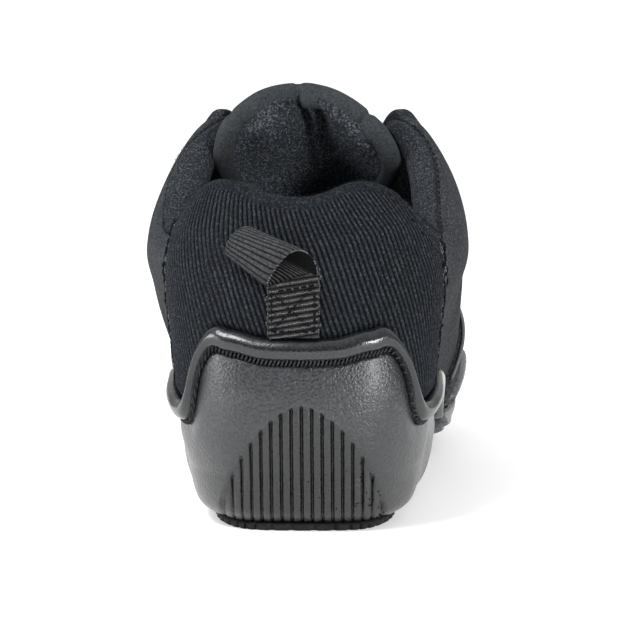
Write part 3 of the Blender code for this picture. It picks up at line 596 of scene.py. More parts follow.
def seat_points(s, rim_rows, back, front):
    """Inside of a sole unit, from its rim down the upper's side and under it to the middle line."""
    foot = upper_at(s, 0.0)[:, 2]
    top = rim_height(rim_rows, s) - RIM_ROUND
    side = [beside_upper(s, foot + share * (top - foot), SEAT_GAP) for share in (1.0, 0.8, 0.6, 0.4, 0.2)]
    middle = spine(s, back, front)
    return side + [beside_upper(s, foot - GAP, SEAT_GAP), raised(middle, feather_height(middle[:, 1]) - GAP)]


def spring(u):
    """Lift of the forefoot's bottom towards the toe and towards its rear end."""
    toe = np.clip((u - SPRING_START) / (TOE_END - SPRING_START), 0, None)
    rear = np.clip((REAR_START - u) / (REAR_START - REAR_END), 0, None)
    return TOE_SPRING * toe ** 2 + REAR_LIFT * rear ** 2


def lobes(s):
    """Rounded lobes along the forefoot unit's side, 0 between them and 1 at their middles."""
    return np.abs(np.sin(math.pi * (reach_of(s) - FORE_START) / LOBE_PITCH)) ** LOBE_POWER


def fore_sides(columns, share=1.0):
    """s of the forefoot unit's columns, its rear end drawn back towards the floor."""
    start = s_of(FORE_START + END_LEAN * max(0.0, 1 - 2 * share))
    return np.linspace(start, 1.0 - start, columns)


def throat_t(s, inset):
    """t at a distance from the opening's edge."""
    length = np.linalg.norm(upper_at(s, 1.0) - upper_at(s, 0.9), axis=-1) * 10
    return 1.0 - inset / length


def eyelet_places():
    """s of the eyelets on the lateral side, top first, evenly down the throat."""
    s = np.linspace(0.2, 0.5, 301)
    return np.interp(np.linspace(*EYELET_SPAN, EYELETS), loop_at(s).edge_u, s)


def smooth_rows(rows, count):
    """Rows of a table read evenly along a smooth curve through them."""
    at = np.linspace(0, len(rows) - 1, count)
    return table_at([(k,) + tuple(row) for k, row in enumerate(rows)], at).T


def behind_panel(x, z, behind):
    """Point at a distance behind the back panel's face."""
    s = s_of(np.asarray(x, float))
    face = upper_at(s, t_at_height(s, np.asarray(z, float)))
    return np.stack([x, face[..., 1] - SEAT_GAP - PANEL_THICK - behind, z], -1)


# Materials

def feed(tree, socket, value):
    """Link a node's input to a socket, or set it to a value."""
    if isinstance(value, bpy.types.NodeSocket):
        tree.links.new(value, socket)
    else:
        socket.default_value = value


def add_node(tree, kind, inputs=None, **settings):
    """New shader node with its settings, and with inputs fed by name or number."""
    node = tree.nodes.new(kind)
    for key, value in settings.items():
        setattr(node, key, value)
    for key, value in (inputs or {}).items():
        feed(tree, node.inputs[key], value)
    return node


def start_material(name, roughness, **sockets):
    """A material, its nodes and its shader with constants on the sockets."""
    mat = bpy.data.materials.new(name)
    mat.use_nodes = True
    shader = mat.node_tree.nodes["Principled BSDF"]
    shader.inputs["Roughness"].default_value = roughness
    for key, value in sockets.items():
        shader.inputs[key.replace("_", " ")].default_value = value
    return mat, mat.node_tree, shader


def object_place(tree):
    return add_node(tree, "ShaderNodeTexCoord").outputs["Object"]


def axes_of(tree, vector):
    return add_node(tree, "ShaderNodeSeparateXYZ", {"Vector": vector}).outputs


def lift_value(tree):
    """The lift that add_piece stores at a mesh's points: painted light and shade, low in grooves and hollows
    and high on ribs and borders.
    """
    return add_node(tree, "ShaderNodeAttribute", attribute_name="lift").outputs["Fac"]


def noise_value(tree, place, scale, detail=3.0, roughness=0.6):
    inputs = {"Vector": place, "Scale": scale, "Detail": detail, "Roughness": roughness}
    return add_node(tree, "ShaderNodeTexNoise", inputs).outputs["Fac"]


def ramp(tree, value, *stops):
    """Colour ramp from (position, grey or colour) pairs."""
    node = add_node(tree, "ShaderNodeValToRGB", {"Fac": value})
    elements = node.color_ramp.elements
    while len(elements) < len(stops):
        elements.new(0.5)
    for element, (position, colour) in zip(elements, stops):
        element.position = position
        if not hasattr(colour, "__len__"):
            colour = (colour, colour, colour)
        element.color = (*colour, 1.0)
    return node.outputs["Color"]


def math_node(tree, operation, a, b):
    return add_node(tree, "ShaderNodeMath", {0: a, 1: b}, operation=operation).outputs[0]


def mix_colour(tree, share, a, b, blend="MIX"):
    inputs = {0: share, 6: a, 7: b}
    return add_node(tree, "ShaderNodeMix", inputs, data_type="RGBA", blend_type=blend).outputs[2]


def multiply(tree, tone, factor):
    return mix_colour(tree, 1.0, tone, factor, "MULTIPLY")


def bump(tree, shader, height, strength, distance):
    node = add_node(tree, "ShaderNodeBump", {"Height": height, "Strength": strength, "Distance": distance})
    tree.links.new(node.outputs["Normal"], shader.inputs["Normal"])


def moulded_material(name, dark, light, rough_low, rough_high, coat, paints_relief_shading=False, grain_bump=0.5, foot=0.25):
    """Satin moulded sole with a pebbled grain and painted shade towards its foot; with relief shading it gets
    painted shade in grooves and a painted highlight on borders.
    """
    mat, tree, shader = start_material(name, rough_low, Coat_Weight=coat, Coat_Roughness=0.25)
    place = object_place(tree)
    fine = math_node(tree, "MULTIPLY", noise_value(tree, place, 2600, 1.0), 0.5)
    grain = math_node(tree, "ADD", noise_value(tree, place, 1350, 1.0, 0.4), fine)
    tone = ramp(tree, noise_value(tree, place, 70, 4.0, 0.6), (0.3, dark), (0.72, light))
    # the grain also varies the colour: painted light and shade of the pebbles
    tone = multiply(tree, tone, ramp(tree, grain, (0.62, 0.55), (0.88, 1.45)))
    # painted shade: the colour darkens towards the floor, down to the factor foot
    height = math_node(tree, "MULTIPLY", axes_of(tree, place)["Z"], 16.0)
    tone = multiply(tree, tone, ramp(tree, height, (0.0, foot), (0.6, 1.0)))
    if paints_relief_shading:
        # painted shade where the lift is low, in grooves, and a painted highlight where it passes the plain
        # wall's, on the dome's border
        grooves = ramp(tree, lift_value(tree), (0.0, 0.04), (PLAIN_LIFT, 1.0), (1.0, 2.6))
        tone = multiply(tree, tone, grooves)
    feed(tree, shader.inputs["Base Color"], tone)
    gloss = ramp(tree, noise_value(tree, place, 110, 5.0, 0.65), (0.3, rough_low), (0.7, rough_high))
    feed(tree, shader.inputs["Roughness"], gloss)
    bump(tree, shader, grain, grain_bump, 0.0005)
    return mat


def cloth_material(name, dark, light, grain_scale, bump_height, sheen, paints_relief_shading=False, glint_speckle=None, deep=None):
    """Matte cloth. With relief shading the lift paints shade in grooves and light on ribs, speckle adds
    painted glints on fibres by scale and colour, and deep paints light on low parts.
    """
    mat, tree, shader = start_material(name, 0.92, Sheen_Weight=0.03 * sheen, Sheen_Roughness=0.55,
                                       Sheen_Tint=(0.6, 0.6, 0.65, 1.0), Specular_IOR_Level=0.08)
    place = object_place(tree)
    grain = noise_value(tree, place, grain_scale, 3.0, 0.65)
    tone = ramp(tree, grain, (0.32, dark), (0.7, light))
    tone = multiply(tree, tone, ramp(tree, noise_value(tree, place, 45, 3.0, 0.55), (0.3, 0.8), (0.7, 1.15)))
    if paints_relief_shading:
        lift = lift_value(tree)
        # painted shade in low places and painted light on ribs, by the lift
        tone = multiply(tree, tone, ramp(tree, lift, (0.12, 0.04), (0.85, 1.35)))
    if glint_speckle:
        scale, colour = glint_speckle
        # painted glints: pale flecks that stand in for light catching single fibres
        fibres = ramp(tree, noise_value(tree, place, scale, 2.0, 0.7), (0.5, 0.0), (0.7, 1.0))
        # on ribbed cloth the painted glints keep to the lit rib tops
        if paints_relief_shading:
            fibres = math_node(tree, "MULTIPLY", fibres, lift)
        tone = mix_colour(tree, fibres, tone, (*colour, 1.0))
    if deep:
        # painted light: lighter below about 83 mm by the factor deep, a little darker above 115 mm
        height = math_node(tree, "MULTIPLY", axes_of(tree, place)["Z"], 8.0)
        tone = multiply(tree, tone, ramp(tree, height, (0.66, deep), (0.92, 0.75)))
    feed(tree, shader.inputs["Base Color"], tone)
    bump(tree, shader, grain, 0.6, bump_height)
    return mat


def enamel_material():
    """Worn enamel of the eyelets."""
    mat, tree, shader = start_material("eyelet_enamel", 0.35, Coat_Weight=0.3)
    wear = ramp(tree, noise_value(tree, object_place(tree), 900), (0.4, 0.012), (0.75, 0.035))
    feed(tree, shader.inputs["Base Color"], wear)
    return mat


def make_materials():
    """All materials by name."""
    return {
        # forefoot unit: a lighter copy of the moulded sole, painted light for the light on its lobes, with
        # less painted shade at its foot
        "moulded": moulded_material("moulded_satin_painted_light", (0.07, 0.0735, 0.077), (0.1, 0.105, 0.109),
                                    0.3, 0.42, 0.15, foot=0.85),
        "moulded_heel": moulded_material("moulded_ribbed", (0.009, 0.0102, 0.0117), (0.0205, 0.0231, 0.0256),
                                         0.28, 0.4, 0.12, paints_relief_shading=True),
        "bead": moulded_material("moulded_bead", (0.0065, 0.0074, 0.0083), (0.011, 0.0124, 0.0139),
                                 0.17, 0.25, 0.05, grain_bump=0.1),
        "rubber": moulded_material("tread_rubber", (0.002, 0.002, 0.0022), (0.004, 0.004, 0.0044),
                                   0.75, 0.95, 0.0),
        "twill": cloth_material("heel_twill", (0.0045, 0.0053, 0.0066), (0.0145, 0.0168, 0.0205),
                                2000, 0.00015, 0.3, True, (1450, (0.046, 0.053, 0.064))),
        "neoprene": cloth_material("side_neoprene", (0.007, 0.0074, 0.0082), (0.031, 0.0329, 0.0363),
                                   1400, 0.0002, 0.5, glint_speckle=(1500, (0.07, 0.0744, 0.082))),
        "weave": cloth_material("eyestay_weave", (0.007, 0.0077, 0.0089), (0.027, 0.0295, 0.034),
                                1500, 0.0003, 0.5, glint_speckle=(1100, (0.058, 0.063, 0.071))),
        "fleece": cloth_material("collar_fleece", (0.005, 0.0058, 0.007), (0.023, 0.0262, 0.031),
                                 1500, 0.0005, 0.4, glint_speckle=(1750, (0.07, 0.078, 0.089))),
        # tongue lining: a lighter copy of the collar fleece, painted light on a lining that sits in shade
        "tongue_fleece": cloth_material("tongue_fleece", (0.006, 0.007, 0.0084), (0.028, 0.032, 0.038),
                                        1300, 0.0005, 0.4, glint_speckle=(1450, (0.098, 0.108, 0.122)), deep=2.4),
        "binding": cloth_material("tongue_binding", (0.018, 0.0199, 0.0215), (0.044, 0.0484, 0.0521),
                                  1400, 0.00012, 0.5),
        "webbing": cloth_material("webbing", (0.011, 0.0113, 0.012), (0.043, 0.0438, 0.0458),
                                  1600, 0.0002, 0.5, True),
        "yarn": cloth_material("webbing_yarn", (0.07, 0.069, 0.068), (0.2, 0.198, 0.195), 2600, 0.0001, 0.5),
        "edge": cloth_material("cut_edge", (0.09, 0.093, 0.098), (0.2, 0.206, 0.215), 2600, 0.0001, 0.5),
        "thread": cloth_material("thread", (0.001, 0.0011, 0.0013), (0.006, 0.0065, 0.0073),
                                 4000, 0.00005, 0.2),
        "cord": cloth_material("sole_thread", (0.008, 0.0086, 0.0095), (0.06, 0.064, 0.07),
                               1500, 0.00005, 0.5),
        "lace": cloth_material("lace", (0.01, 0.0108, 0.0122), (0.03, 0.0322, 0.0358),
                               3000, 0.0002, 0.5, True),
        "enamel": enamel_material(),
    }


# Meshes

def quads(rows, columns, close_rows=False, close_columns=False, start=0):
    """Quads of a grid of points stored row by row."""
    i = np.arange(rows if close_rows else rows - 1)[:, None]
    j = np.arange(columns if close_columns else columns - 1)[None, :]
    after, beside = (i + 1) % rows, (j + 1) % columns
    corners = [i * columns + j, i * columns + beside, after * columns + beside, after * columns + j]
    return np.stack(np.broadcast_arrays(*corners), -1).reshape(-1, 4) + start


def end_caps(columns, count, start=0):
    """Faces that close both ends of a sweep of columns with count points each."""
    last = start + (columns - 1) * count
    return [list(range(start, start + count)), list(range(last, last + count))]


def sheet_faces(rows, columns, start=0):
    """Faces of a closed sheet between two grids stored one after the other: first grid, second, border."""
    size = rows * columns
    grid = quads(rows, columns)
    border = list(range(columns))
    border += [i * columns + columns - 1 for i in range(1, rows)]
    border += [(rows - 1) * columns + j for j in range(columns - 2, -1, -1)]
    border += [i * columns for i in range(rows - 2, 0, -1)]
    sides = [(a, b, size + b, size + a) for a, b in zip(border, border[1:] + border[:1])]
    return np.concatenate([grid, grid[:, ::-1] + size, sides]) + start


def add_piece(name, points, faces, mats, replaced=(), which=None, lift=None, face_out=True):
    """One piece of the shoe from points in millimetres."""
    mesh = bpy.data.meshes.new(name)
    placed = (np.asarray(points, float).reshape(-1, 3) - (CENTRE_X, CENTRE_U, 0.0)) * MM
    mesh.from_pydata(placed.tolist(), [], [list(face) for face in faces])
    for mat in mats if isinstance(mats, (list, tuple)) else [mats]:
        mesh.materials.append(mat)
    if which is not None:
        mesh.polygons.foreach_set("material_index", np.asarray(which, np.int32))
    if lift is not None:
        stored = mesh.attributes.new("lift", "FLOAT", "POINT").data
        stored.foreach_set("value", np.asarray(lift, np.float32).ravel())
    if face_out:
        shape = bmesh.new()
        shape.from_mesh(mesh)
        bmesh.ops.recalc_face_normals(shape, faces=shape.faces)
        shape.to_mesh(mesh)
        shape.free()
    mesh.shade_smooth()
    piece = bpy.data.objects.new(name, mesh)
    bpy.context.collection.objects.link(piece)
    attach(piece, "root")
    if replaced:
        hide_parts(*replaced)
    return piece


def closed_sweep(name, profiles, mats, replaced=(), which=None, lift=None):
    """Solid from one closed profile per column, with end caps."""
    columns, count = profiles.shape[:2]
    faces = quads(columns, count, close_columns=True).tolist() + end_caps(columns, count)
    return add_piece(name, profiles, faces, mats, replaced, which, lift)


def sheet_solid(name, outer, inner, mats, replaced=(), lift=None):
    """Closed sheet between two grids of the same size."""
    points = np.stack([outer, inner])
    if lift is not None:
        lift = np.stack([lift, np.zeros_like(lift)])
    return add_piece(name, points, sheet_faces(*outer.shape[:2]), mats, replaced, lift=lift)


def soft_noise(points, size):
    """Smooth values between about -1 and 1 at points, with bumps of a size in millimetres."""
    flat = np.asarray(points, float).reshape(-1, 3) / size
    return np.array([noise.noise(p) for p in flat]).reshape(points.shape[:-1])


def layered_noise(points, layers):
    """Sum of smooth noises, each with a size and a height."""
    return sum(height * soft_noise(points, size) for size, height in layers)


def along_path(path, at):
    """Points at distances along a path."""
    run = run_length(path)
    return np.stack([np.interp(at, run, path[:, k]) for k in range(3)], -1)


def blunt(turn, power):
    """Cosine and sine of a turn, for powers below 1 on a rounded box in place of a circle."""
    return [math.copysign(abs(value) ** power, value) for value in (math.cos(turn), math.sin(turn))]


def flat_strip(path, wide, thick, across, ripple=0.0):
    """Profiles of a rounded flat strip along a path, with half its width and a ripple on its faces."""
    deep = unit(np.cross(np.gradient(path, axis=0), wide))
    height = np.broadcast_to(thick / 2 + ripple, len(path))
    profiles = []
    for turn in np.linspace(0, 2 * math.pi, 2 * across, endpoint=False):
        c, d = blunt(turn, 0.35)
        profiles.append(path + wide * c + deep * (d * height)[:, None])
    return np.stack(profiles, axis=1)


def stitches(name, runs, radius, mat, sides=6):
    """Many short threads as one mesh, each thick in its middle, from arrays of their starts and ends."""
    starts, ends = (np.concatenate(points) for points in zip(*runs))
    along = ends - starts
    upright = np.abs(along[:, 2:]) > np.abs(along[:, :1])
    side = unit(np.cross(along, np.where(upright, [[1.0, 0, 0]], [[0, 0, 1.0]])))
    other = unit(np.cross(along, side))
    rings = [(0.0, 0.35), (0.18, 0.9), (0.5, 1.0), (0.82, 0.9), (1.0, 0.35)]
    points = []
    for share, size in rings:
        for k in range(sides):
            turn = 2 * math.pi * k / sides
            spoke = side * math.cos(turn) + other * math.sin(turn)
            points.append(starts + along * share + spoke * radius * size)
    points = np.stack(points, axis=1)
    first, last = end_caps(len(rings), sides)
    one = quads(len(rings), sides, close_columns=True).tolist() + [first[::-1], last]
    count = points.shape[1]
    faces = [[n * count + k for k in face] for n in range(len(points)) for face in one]
    return add_piece(name, points, faces, mat)


def dashes(path, length, gap, parts=8):
    """Starts and ends of stitches along a path, which is divided into parts of a stitch and its gap."""
    step = (length + gap) / parts
    points = along_path(path, np.arange(0, run_length(path)[-1], step))
    starts = points[:-parts:parts]
    ends = points[int(round(length / step))::parts][:len(starts)]
    return starts[:len(ends)], ends


# Upper and sole

def over_collar(s, q, out):
    """Point beyond the outer face, the rolled edge or the inner face, by q."""
    s, q, out = np.broadcast_arrays(np.asarray(s, float), np.asarray(q, float), np.asarray(out, float))
    t = np.clip(np.where(q <= 1, q, 3 - np.maximum(q, 2)), 0, 1)
    normal, upward = upper_frame(s, t)
    face = upper_at(s, t)
    half = (loop_at(s).rim / 2)[..., None]
    turn = (np.clip(q - 1, 0, 1) * math.pi)[..., None]
    spoke = np.cos(turn) * normal + np.sin(turn) * upward
    roll = face - normal * half + spoke * (half + out[..., None])
    outer = face + normal * out[..., None]
    inner = face - normal * (wall_thickness(s, t) + out)[..., None]
    q = q[..., None]
    return np.where(q <= 1, outer, np.where(q < 2, roll, inner))


def section_length(s):
    """Rough length of the outer face from feather edge to opening."""
    return run_length(np.stack([upper_at(s, t) for t in np.linspace(0, 1, 9)]))[-1]


def creased(s, q):
    """Height of the creases at a place on the upper, none of them above its edge."""
    q = np.minimum(q, 1)
    total = np.zeros(np.broadcast(s, q).shape)
    length = section_length(s)
    for crease in CREASES:
        across = ((s - s_of(crease.reach) + 0.5) % 1.0 - 0.5) * 2 * HALF_ROUND
        up = (q - crease.q) * length
        turn = math.radians(crease.angle) * np.sign(crease.reach)
        along = across * math.cos(turn) + up * math.sin(turn)
        beside = up * math.cos(turn) - across * math.sin(turn) + CREASE_BEND * along ** 2
        total += crease.height * hump(along, crease.length) * hump(beside, crease.width)
    return total


def lining_q(s):
    """q of the seam between the outer cloth and the lining."""
    sides = table_at(LINING, reach_of(s))
    return np.where(np.asarray(s) % 1.0 < 0.5, sides[..., 0], sides[..., 1])


def padding(s, q):
    """How far the collar's padding swells inwards beside the tongue."""
    return PAD_SWELL * hump(reach_of(s) - PAD_REACH, PAD_LENGTH) * hump(q - PAD_Q, PAD_SPREAD)


def build_upper(mats, columns=264, outer_rows=84, lining_rows=56):
    """Padded shell with its lining from the collar's seam over the roll and down inside."""
    s = (np.arange(columns) / columns)[None, :]
    seam = lining_q(s)
    w = np.linspace(0, 1, outer_rows)[:, None]
    q = seam * w
    below_seam = (1 - w) * section_length(s)
    out = creased(s, q) * np.clip((1.05 - q) * 4, 0, 1) - COLLAR_SEAM * hump(below_seam, 1.0)
    outer = over_collar(s, q, out)
    q = seam + (3 - seam) * np.linspace(0, 1, lining_rows)[:, None] ** 1.25
    fluff = over_collar(s, q, 0.0)
    pile = layered_noise(fluff, LINING_PILE) + LINING_DEPTH
    past_seam = (q - seam) * 14
    pile = pile * np.clip(past_seam * 0.6, 0, 1) * np.clip((3 - q) * 8, 0, 1)
    lining = over_collar(s, q, pile - COLLAR_SEAM * hump(past_seam, 1.0) + padding(s, q))
    points = np.concatenate([outer, lining[1:]])
    rows = len(points)
    which = np.repeat(np.where(np.arange(rows) < outer_rows - 1, 0, 1), columns)
    faces = quads(rows, columns, close_rows=True, close_columns=True)
    cloths = [mats["neoprene"], mats["fleece"]]
    upper = add_piece("upper_shell", points, faces, cloths, ["upper"], which)


def dense_levels(levels, count):
    """Many levels along a smooth curve through a table's, with a fuller bead and a deeper stitch groove."""
    made = []
    for row in smooth_rows(levels, count).T:
        level = Level(*row)
        banded = level.share > BAND_SHARE
        out = level.out
        if banded:
            level = level._replace(drop=level.drop * BEAD_STRETCH)
            out -= SEAM_DEPTH * hump(level.drop - SEAM_DROP, SEAM_HALF)
            out += BEAD_SWELL * hump(level.drop - 0.5 * BEAD_FOOT, 0.4 * BEAD_FOOT)
        if levels is CUP_LEVELS and (not banded or level.drop > SEAM_DROP):
            near = np.clip((level.share - PILLOW_START) / (1 - PILLOW_START), 0, 1)
            out -= PILLOW * near ** 1.5
        made.append(level._replace(out=out))
    return made


def heel_columns(level):
    """s of the heel cup's columns on the lateral side, fine over the ribs."""
    dense = np.linspace(0.0, RIB_SPAN, 200)
    across = level_point(level, CUP_RIM, 0.0, dense)[:, 0]
    ribs = np.interp(np.arange(0, RIB_ZONE, RIB_STEP), across, dense)
    rest = np.linspace(0.0, 1.0, 76)[1:]
    lean = END_LEAN * max(0.0, 1 - level.low / CUP_LEVELS[-1].low)
    return np.concatenate([ribs, ribs[-1] + (s_of(HEEL_END - lean) - ribs[-1]) * rest])


def dome_share(point):
    """1 inside the ribbed dome and 0 outside, with a narrow step between, and 1 in its grooves."""
    across, z = np.abs(point[..., 0]), np.maximum(point[..., 2], 0.01)
    inside = 1 - (across / DOME_HALF) ** DOME_POWER - (z / DOME_HEIGHT) ** DOME_POWER
    slope = np.hypot(DOME_POWER * np.maximum(across, 0.01) ** (DOME_POWER - 1) / DOME_HALF ** DOME_POWER,
                     DOME_POWER * z ** (DOME_POWER - 1) / DOME_HEIGHT ** DOME_POWER)
    beside = across - RIB_PITCH * np.round(across / RIB_PITCH)
    return ease(inside / slope / DOME_EDGE), hump(beside, GROOVE_WIDTH)


def build_heel_cup(mats, levels=90):
    """Moulded heel unit with a ribbed dome, a stitch groove and a glossy bead."""
    walls, lifts, shine = [], [], []
    for level in dense_levels(CUP_LEVELS, levels):
        lateral = heel_columns(level)
        s = np.concatenate([lateral[::-1], 1.0 - lateral[1:]])
        if not walls:
            under = raised(spine(s, HEEL_SPINE, TOE_END), level.low)
        dome, groove = dome_share(level_point(level, CUP_RIM, 0.0, s))
        walls.append(level_point(level, CUP_RIM, 0.0, s, -dome * (DOME_STEP + GROOVE_DEPTH * groove)))
        banded = level.share > BAND_SHARE
        seam = hump(level.drop - SEAM_DROP, SEAM_HALF) * banded
        # Lift for the material: the dome darker, a painted highlight along its border step, and painted shade
        # in the rib grooves and the stitch groove.
        lift = PLAIN_LIFT * (1 - DOME_DARK * dome) + (1 - PLAIN_LIFT) * 4 * dome * (1 - dome)
        lifts.append(lift * (1 - dome * groove) * (1 - SEAM_DARK * seam))
        shine.append(int(banded and level.drop < BEAD_FOOT))
    seat = seat_points(s, CUP_RIM, HEEL_SPINE, TOE_END)
    profile = np.stack([under] + walls + seat, axis=1)
    columns, count = profile.shape[:2]
    plain = np.full(columns, PLAIN_LIFT)
    lift = np.stack([plain] + lifts + [plain] * len(seat), axis=1)
    wall = np.stack(walls, axis=1)
    dome, groove = dome_share(wall)
    build_specks(mats, wall[(dome > 0.9) & (groove < 0.3) & (wall[..., 2] < SPECK_HEIGHT)])
    rows = np.array([0] + shine + [1] * 2 + [0] * (count - len(shine) - 3))
    which = np.concatenate([np.tile(rows, columns - 1), [0, 0]])
    closed_sweep("heel_cup_moulded", profile, [mats["moulded_heel"], mats["bead"]], ["heel_cup"],
                 which, lift)


def build_specks(mats, places, seed=11, count=70):
    """Dark specks on the dome's ribs, most of them low on the lateral side."""
    rng = np.random.default_rng(seed)
    weight = np.exp(places[:, 0] / SPECK_DRIFT) * np.exp(-places[:, 2] / SPECK_FALL)
    chosen = places[rng.choice(len(places), count, replace=False, p=weight / weight.sum())]
    ends = chosen + np.stack([rng.uniform(0.1, 0.5, count), np.zeros(count), rng.normal(0, 0.15, count)], -1)
    stitches("heel_specks", [(chosen, ends)], SPECK_RADIUS, mats["thread"])


def build_forefoot(mats, columns=300, levels=84):
    """Moulded forefoot unit with side lobes between two grooves."""
    walls = []
    for level in dense_levels(FORE_LEVELS, levels):
        s = fore_sides(columns, level.share)
        if level.drop < 1:
            depth = sum(groove.depth * hump(level.share - groove.share, groove.half)
                        for groove in FORE_GROOVES)
            level = level._replace(out=level.out - depth)
        base = FORE_TREAD + GAP + spring(upper_at(s, 0.0)[:, 1])
        walls.append(level_point(level, FORE_RIM, base, s, LOBE * level.swell * lobes(s)))
    middle = spine(fore_sides(columns, 0.0), 0.0, TOE_SPINE)
    under = raised(middle, FORE_TREAD + GAP + spring(middle[:, 1]))
    seat = seat_points(fore_sides(columns), FORE_RIM, 0.0, TOE_SPINE)
    profile = np.stack([under] + walls + seat, axis=1)
    closed_sweep("forefoot_moulded", profile, mats["moulded"], ["forefoot_sole"])


def tread_grooves(x, u):
    """Depth of the tread's grooves: bars across with a wave, 0 between them."""
    phase = (u + BAR_WAVE * np.cos(x / BAR_WAVE_LENGTH)) / BAR_PITCH
    beside = np.abs(phase - np.round(phase)) * BAR_PITCH
    return BAR_DEPTH * np.clip(1.6 - beside * 2.2, 0, 1)


def plate_piece(name, s, out, low, high, mats, replaced, closed=False, grooves=False, dish=0.0):
    """Flat piece inside an outline, divided from its middle line to its edge."""
    if grooves:
        beside = (s * 2 * HALF_ROUND) % NOTCH_PITCH - NOTCH_PITCH / 2
        out = out - NOTCH_DEPTH * hump(beside, NOTCH_HALF)[:, None]
    edge = upper_at(s, 0.0)[:, :2] + out * np.stack(plan_normal(s), -1)
    middle = spine(s, HEEL_SPINE, TOE_SPINE)
    lower, upper = [], []
    for share in [*np.linspace(0, PLATE_FLAT, 26), PLATE_TURN, 0.99, 1.0]:
        plan = middle + (edge - middle) * share
        turn = PLATE_ROUND * max(0.0, share - PLATE_TURN) / (1 - PLATE_TURN)
        cut = tread_grooves(plan[:, 0], plan[:, 1]) if grooves and share < PLATE_FLAT else 0.0
        lower.append(raised(plan, low(plan[:, 1]) + cut + turn))
        upper.append(raised(plan, high(plan[:, 1]) - turn + dish * share ** 4))
    profile = np.stack(lower + upper[::-1], axis=1)
    columns, count = profile.shape[:2]
    faces = quads(columns, count, close_rows=closed).tolist()
    if not closed:
        faces += end_caps(columns, count)
    piece = add_piece(name, profile, faces, mats, replaced)
    weld = bmesh.new()
    weld.from_mesh(piece.data)
    bmesh.ops.remove_doubles(weld, verts=weld.verts, dist=1e-7)
    weld.to_mesh(piece.data)
    weld.free()
    return piece


def build_plates(mats):
    """Treads under the sole units, and the insole."""
    end = s_of(HEEL_END - END_LEAN - TREAD_END)
    plate_piece("heel_tread_rubber", np.linspace(-end, end, 361), -HEEL_TREAD_INSET, lambda u: 0 * u,
                lambda u: 0 * u + HEEL_TREAD, mats["rubber"], ["heel_tread"], grooves=True)
    start = s_of(FORE_START + END_LEAN + TREAD_END)
    plate_piece("forefoot_tread_rubber", np.linspace(start, 1 - start, 541), -FORE_TREAD_INSET, spring,
                lambda u: spring(u) + FORE_TREAD, mats["rubber"], ["forefoot_tread"], grooves=True)
    insole = plate_piece("insole_sheet", np.arange(200) / 200, -WALL - INSOLE_EDGE,
                         lambda u: feather_height(u) + GAP, lambda u: feather_height(u) + INSOLE_THICK,
                         mats["fleece"], ["insole"], closed=True, dish=INSOLE_DISH)


def build_arch(mats, rows=60, columns=60):
    """Ribbed cloth under the arch, between the sole units."""
    s = np.linspace(s_of(HEEL_END + ARCH_END), s_of(FORE_START - ARCH_END), rows)[:, None]
    lateral, medial = upper_at(s, 0.0), upper_at(1 - s, 0.0)
    top = lateral + (medial - lateral) * np.linspace(0, 1, columns)[None, :, None] - (0, 0, GAP)
    ribs = 0.5 + 0.5 * np.cos(2 * math.pi * top[..., 0] / TWILL_PITCH)
    low = top - np.stack([0 * ribs, 0 * ribs, ARCH_THICK - ARCH_RIB + ARCH_RIB * ribs], -1)
    # the ribs are its lift: painted shade between the twill's ribs
    sheet_solid("arch_cloth", low, top, mats["twill"], ["arch_panel"], ribs)


# Heel panel and overlays

def twill_ribs(points, z):
    """0 in the grooves of the twill and 1 on its ribs, for a grid whose columns run round the heel."""
    arc = run_length(points[..., :2], 1)
    arc -= arc[:, arc.shape[1] // 2][:, None]
    return np.abs(np.sin(math.pi * (arc + TWILL_SLANT * z) / TWILL_PITCH))


def panel_s(f, v):
    """s on the heel panel, at a signed share of its half length and a share of its height."""
    return s_of(f * (PANEL_FOOT + (PANEL_TOP - PANEL_FOOT) * v))


def build_back_panel(mats, columns=421, rows=110):
    """Ribbed twill panel round the heel, over the collar's roll, with a soft rolled edge."""
    v = np.linspace(0, 1, rows)[:, None]
    f = np.linspace(-1, 1, columns)[None, :]
    s = panel_s(f, v)
    low = t_at_height(s, rim_height(CUP_RIM, s) - 1.2)
    q = low + (lining_q(s) - 0.02 - low) * v
    base = over_collar(s, q, 0.0)
    height = run_length(base)
    from_top = height[-1:] - height
    side = (1 - np.abs(f)) * PANEL_FOOT
    tuck = np.clip(height / PANEL_TUCK, 0, 1)
    tuck = tuck * (np.clip(side / PANEL_SIDE, 0, 1) * np.clip(from_top / PANEL_LIP, 0, 1)) ** 0.5
    seam = hump(side - PANEL_SEAM, 0.5) + hump(from_top - PANEL_HEM, 0.5)
    weave = twill_ribs(over_collar(s, np.minimum(q, TWILL_TOP), 0.0), base[..., 2])
    below = np.clip((from_top - 2.2) / 0.8, 0, 1)
    wave = layered_noise(base, PANEL_WAVES)
    bead = 0.5 * hump(from_top - 1.0, 1.0)
    face = SEAT_GAP + PANEL_THICK - 0.2 + TWILL_HEIGHT * weave * below + wave + bead - 0.25 * seam
    outer, inner = over_collar(s, q, OVERLAY_EDGE + tuck * face), over_collar(s, q, SKIN)
    # lift: painted shade in the twill's grooves and lighter rib tops, an even middle value along the top edge
    lift = 0.5 * (1 - below) + below * weave ** 1.7
    sheet_solid("back_panel_twill", outer, inner, mats["twill"], ["back_panel"], lift)


def overlay_piece(name, s, q, mats, replaced, lump=0.0):
    """Raised panel on the upper with soft edges and a stitch groove inside them."""
    columns = s.shape[1]
    column = np.arange(columns)[None, :]
    base = over_collar(s, q, 0.0)
    height = run_length(base)
    edge = np.minimum(height, height[-1:] - height)
    edge = np.minimum(edge, 0.45 * np.minimum(column, columns - 1 - column))
    rise = np.clip(edge / 0.8, 0, 1) ** 0.5
    face = SEAT_GAP + PANEL_THICK - 0.1 - 0.35 * hump(edge - 1.9, 0.45) + lump * soft_noise(base, 9.0)
    outer = over_collar(s, q, OVERLAY_EDGE + rise * (face + creased(s, q)))
    sheet_solid(name, outer, over_collar(s, q, SKIN), mats, replaced)


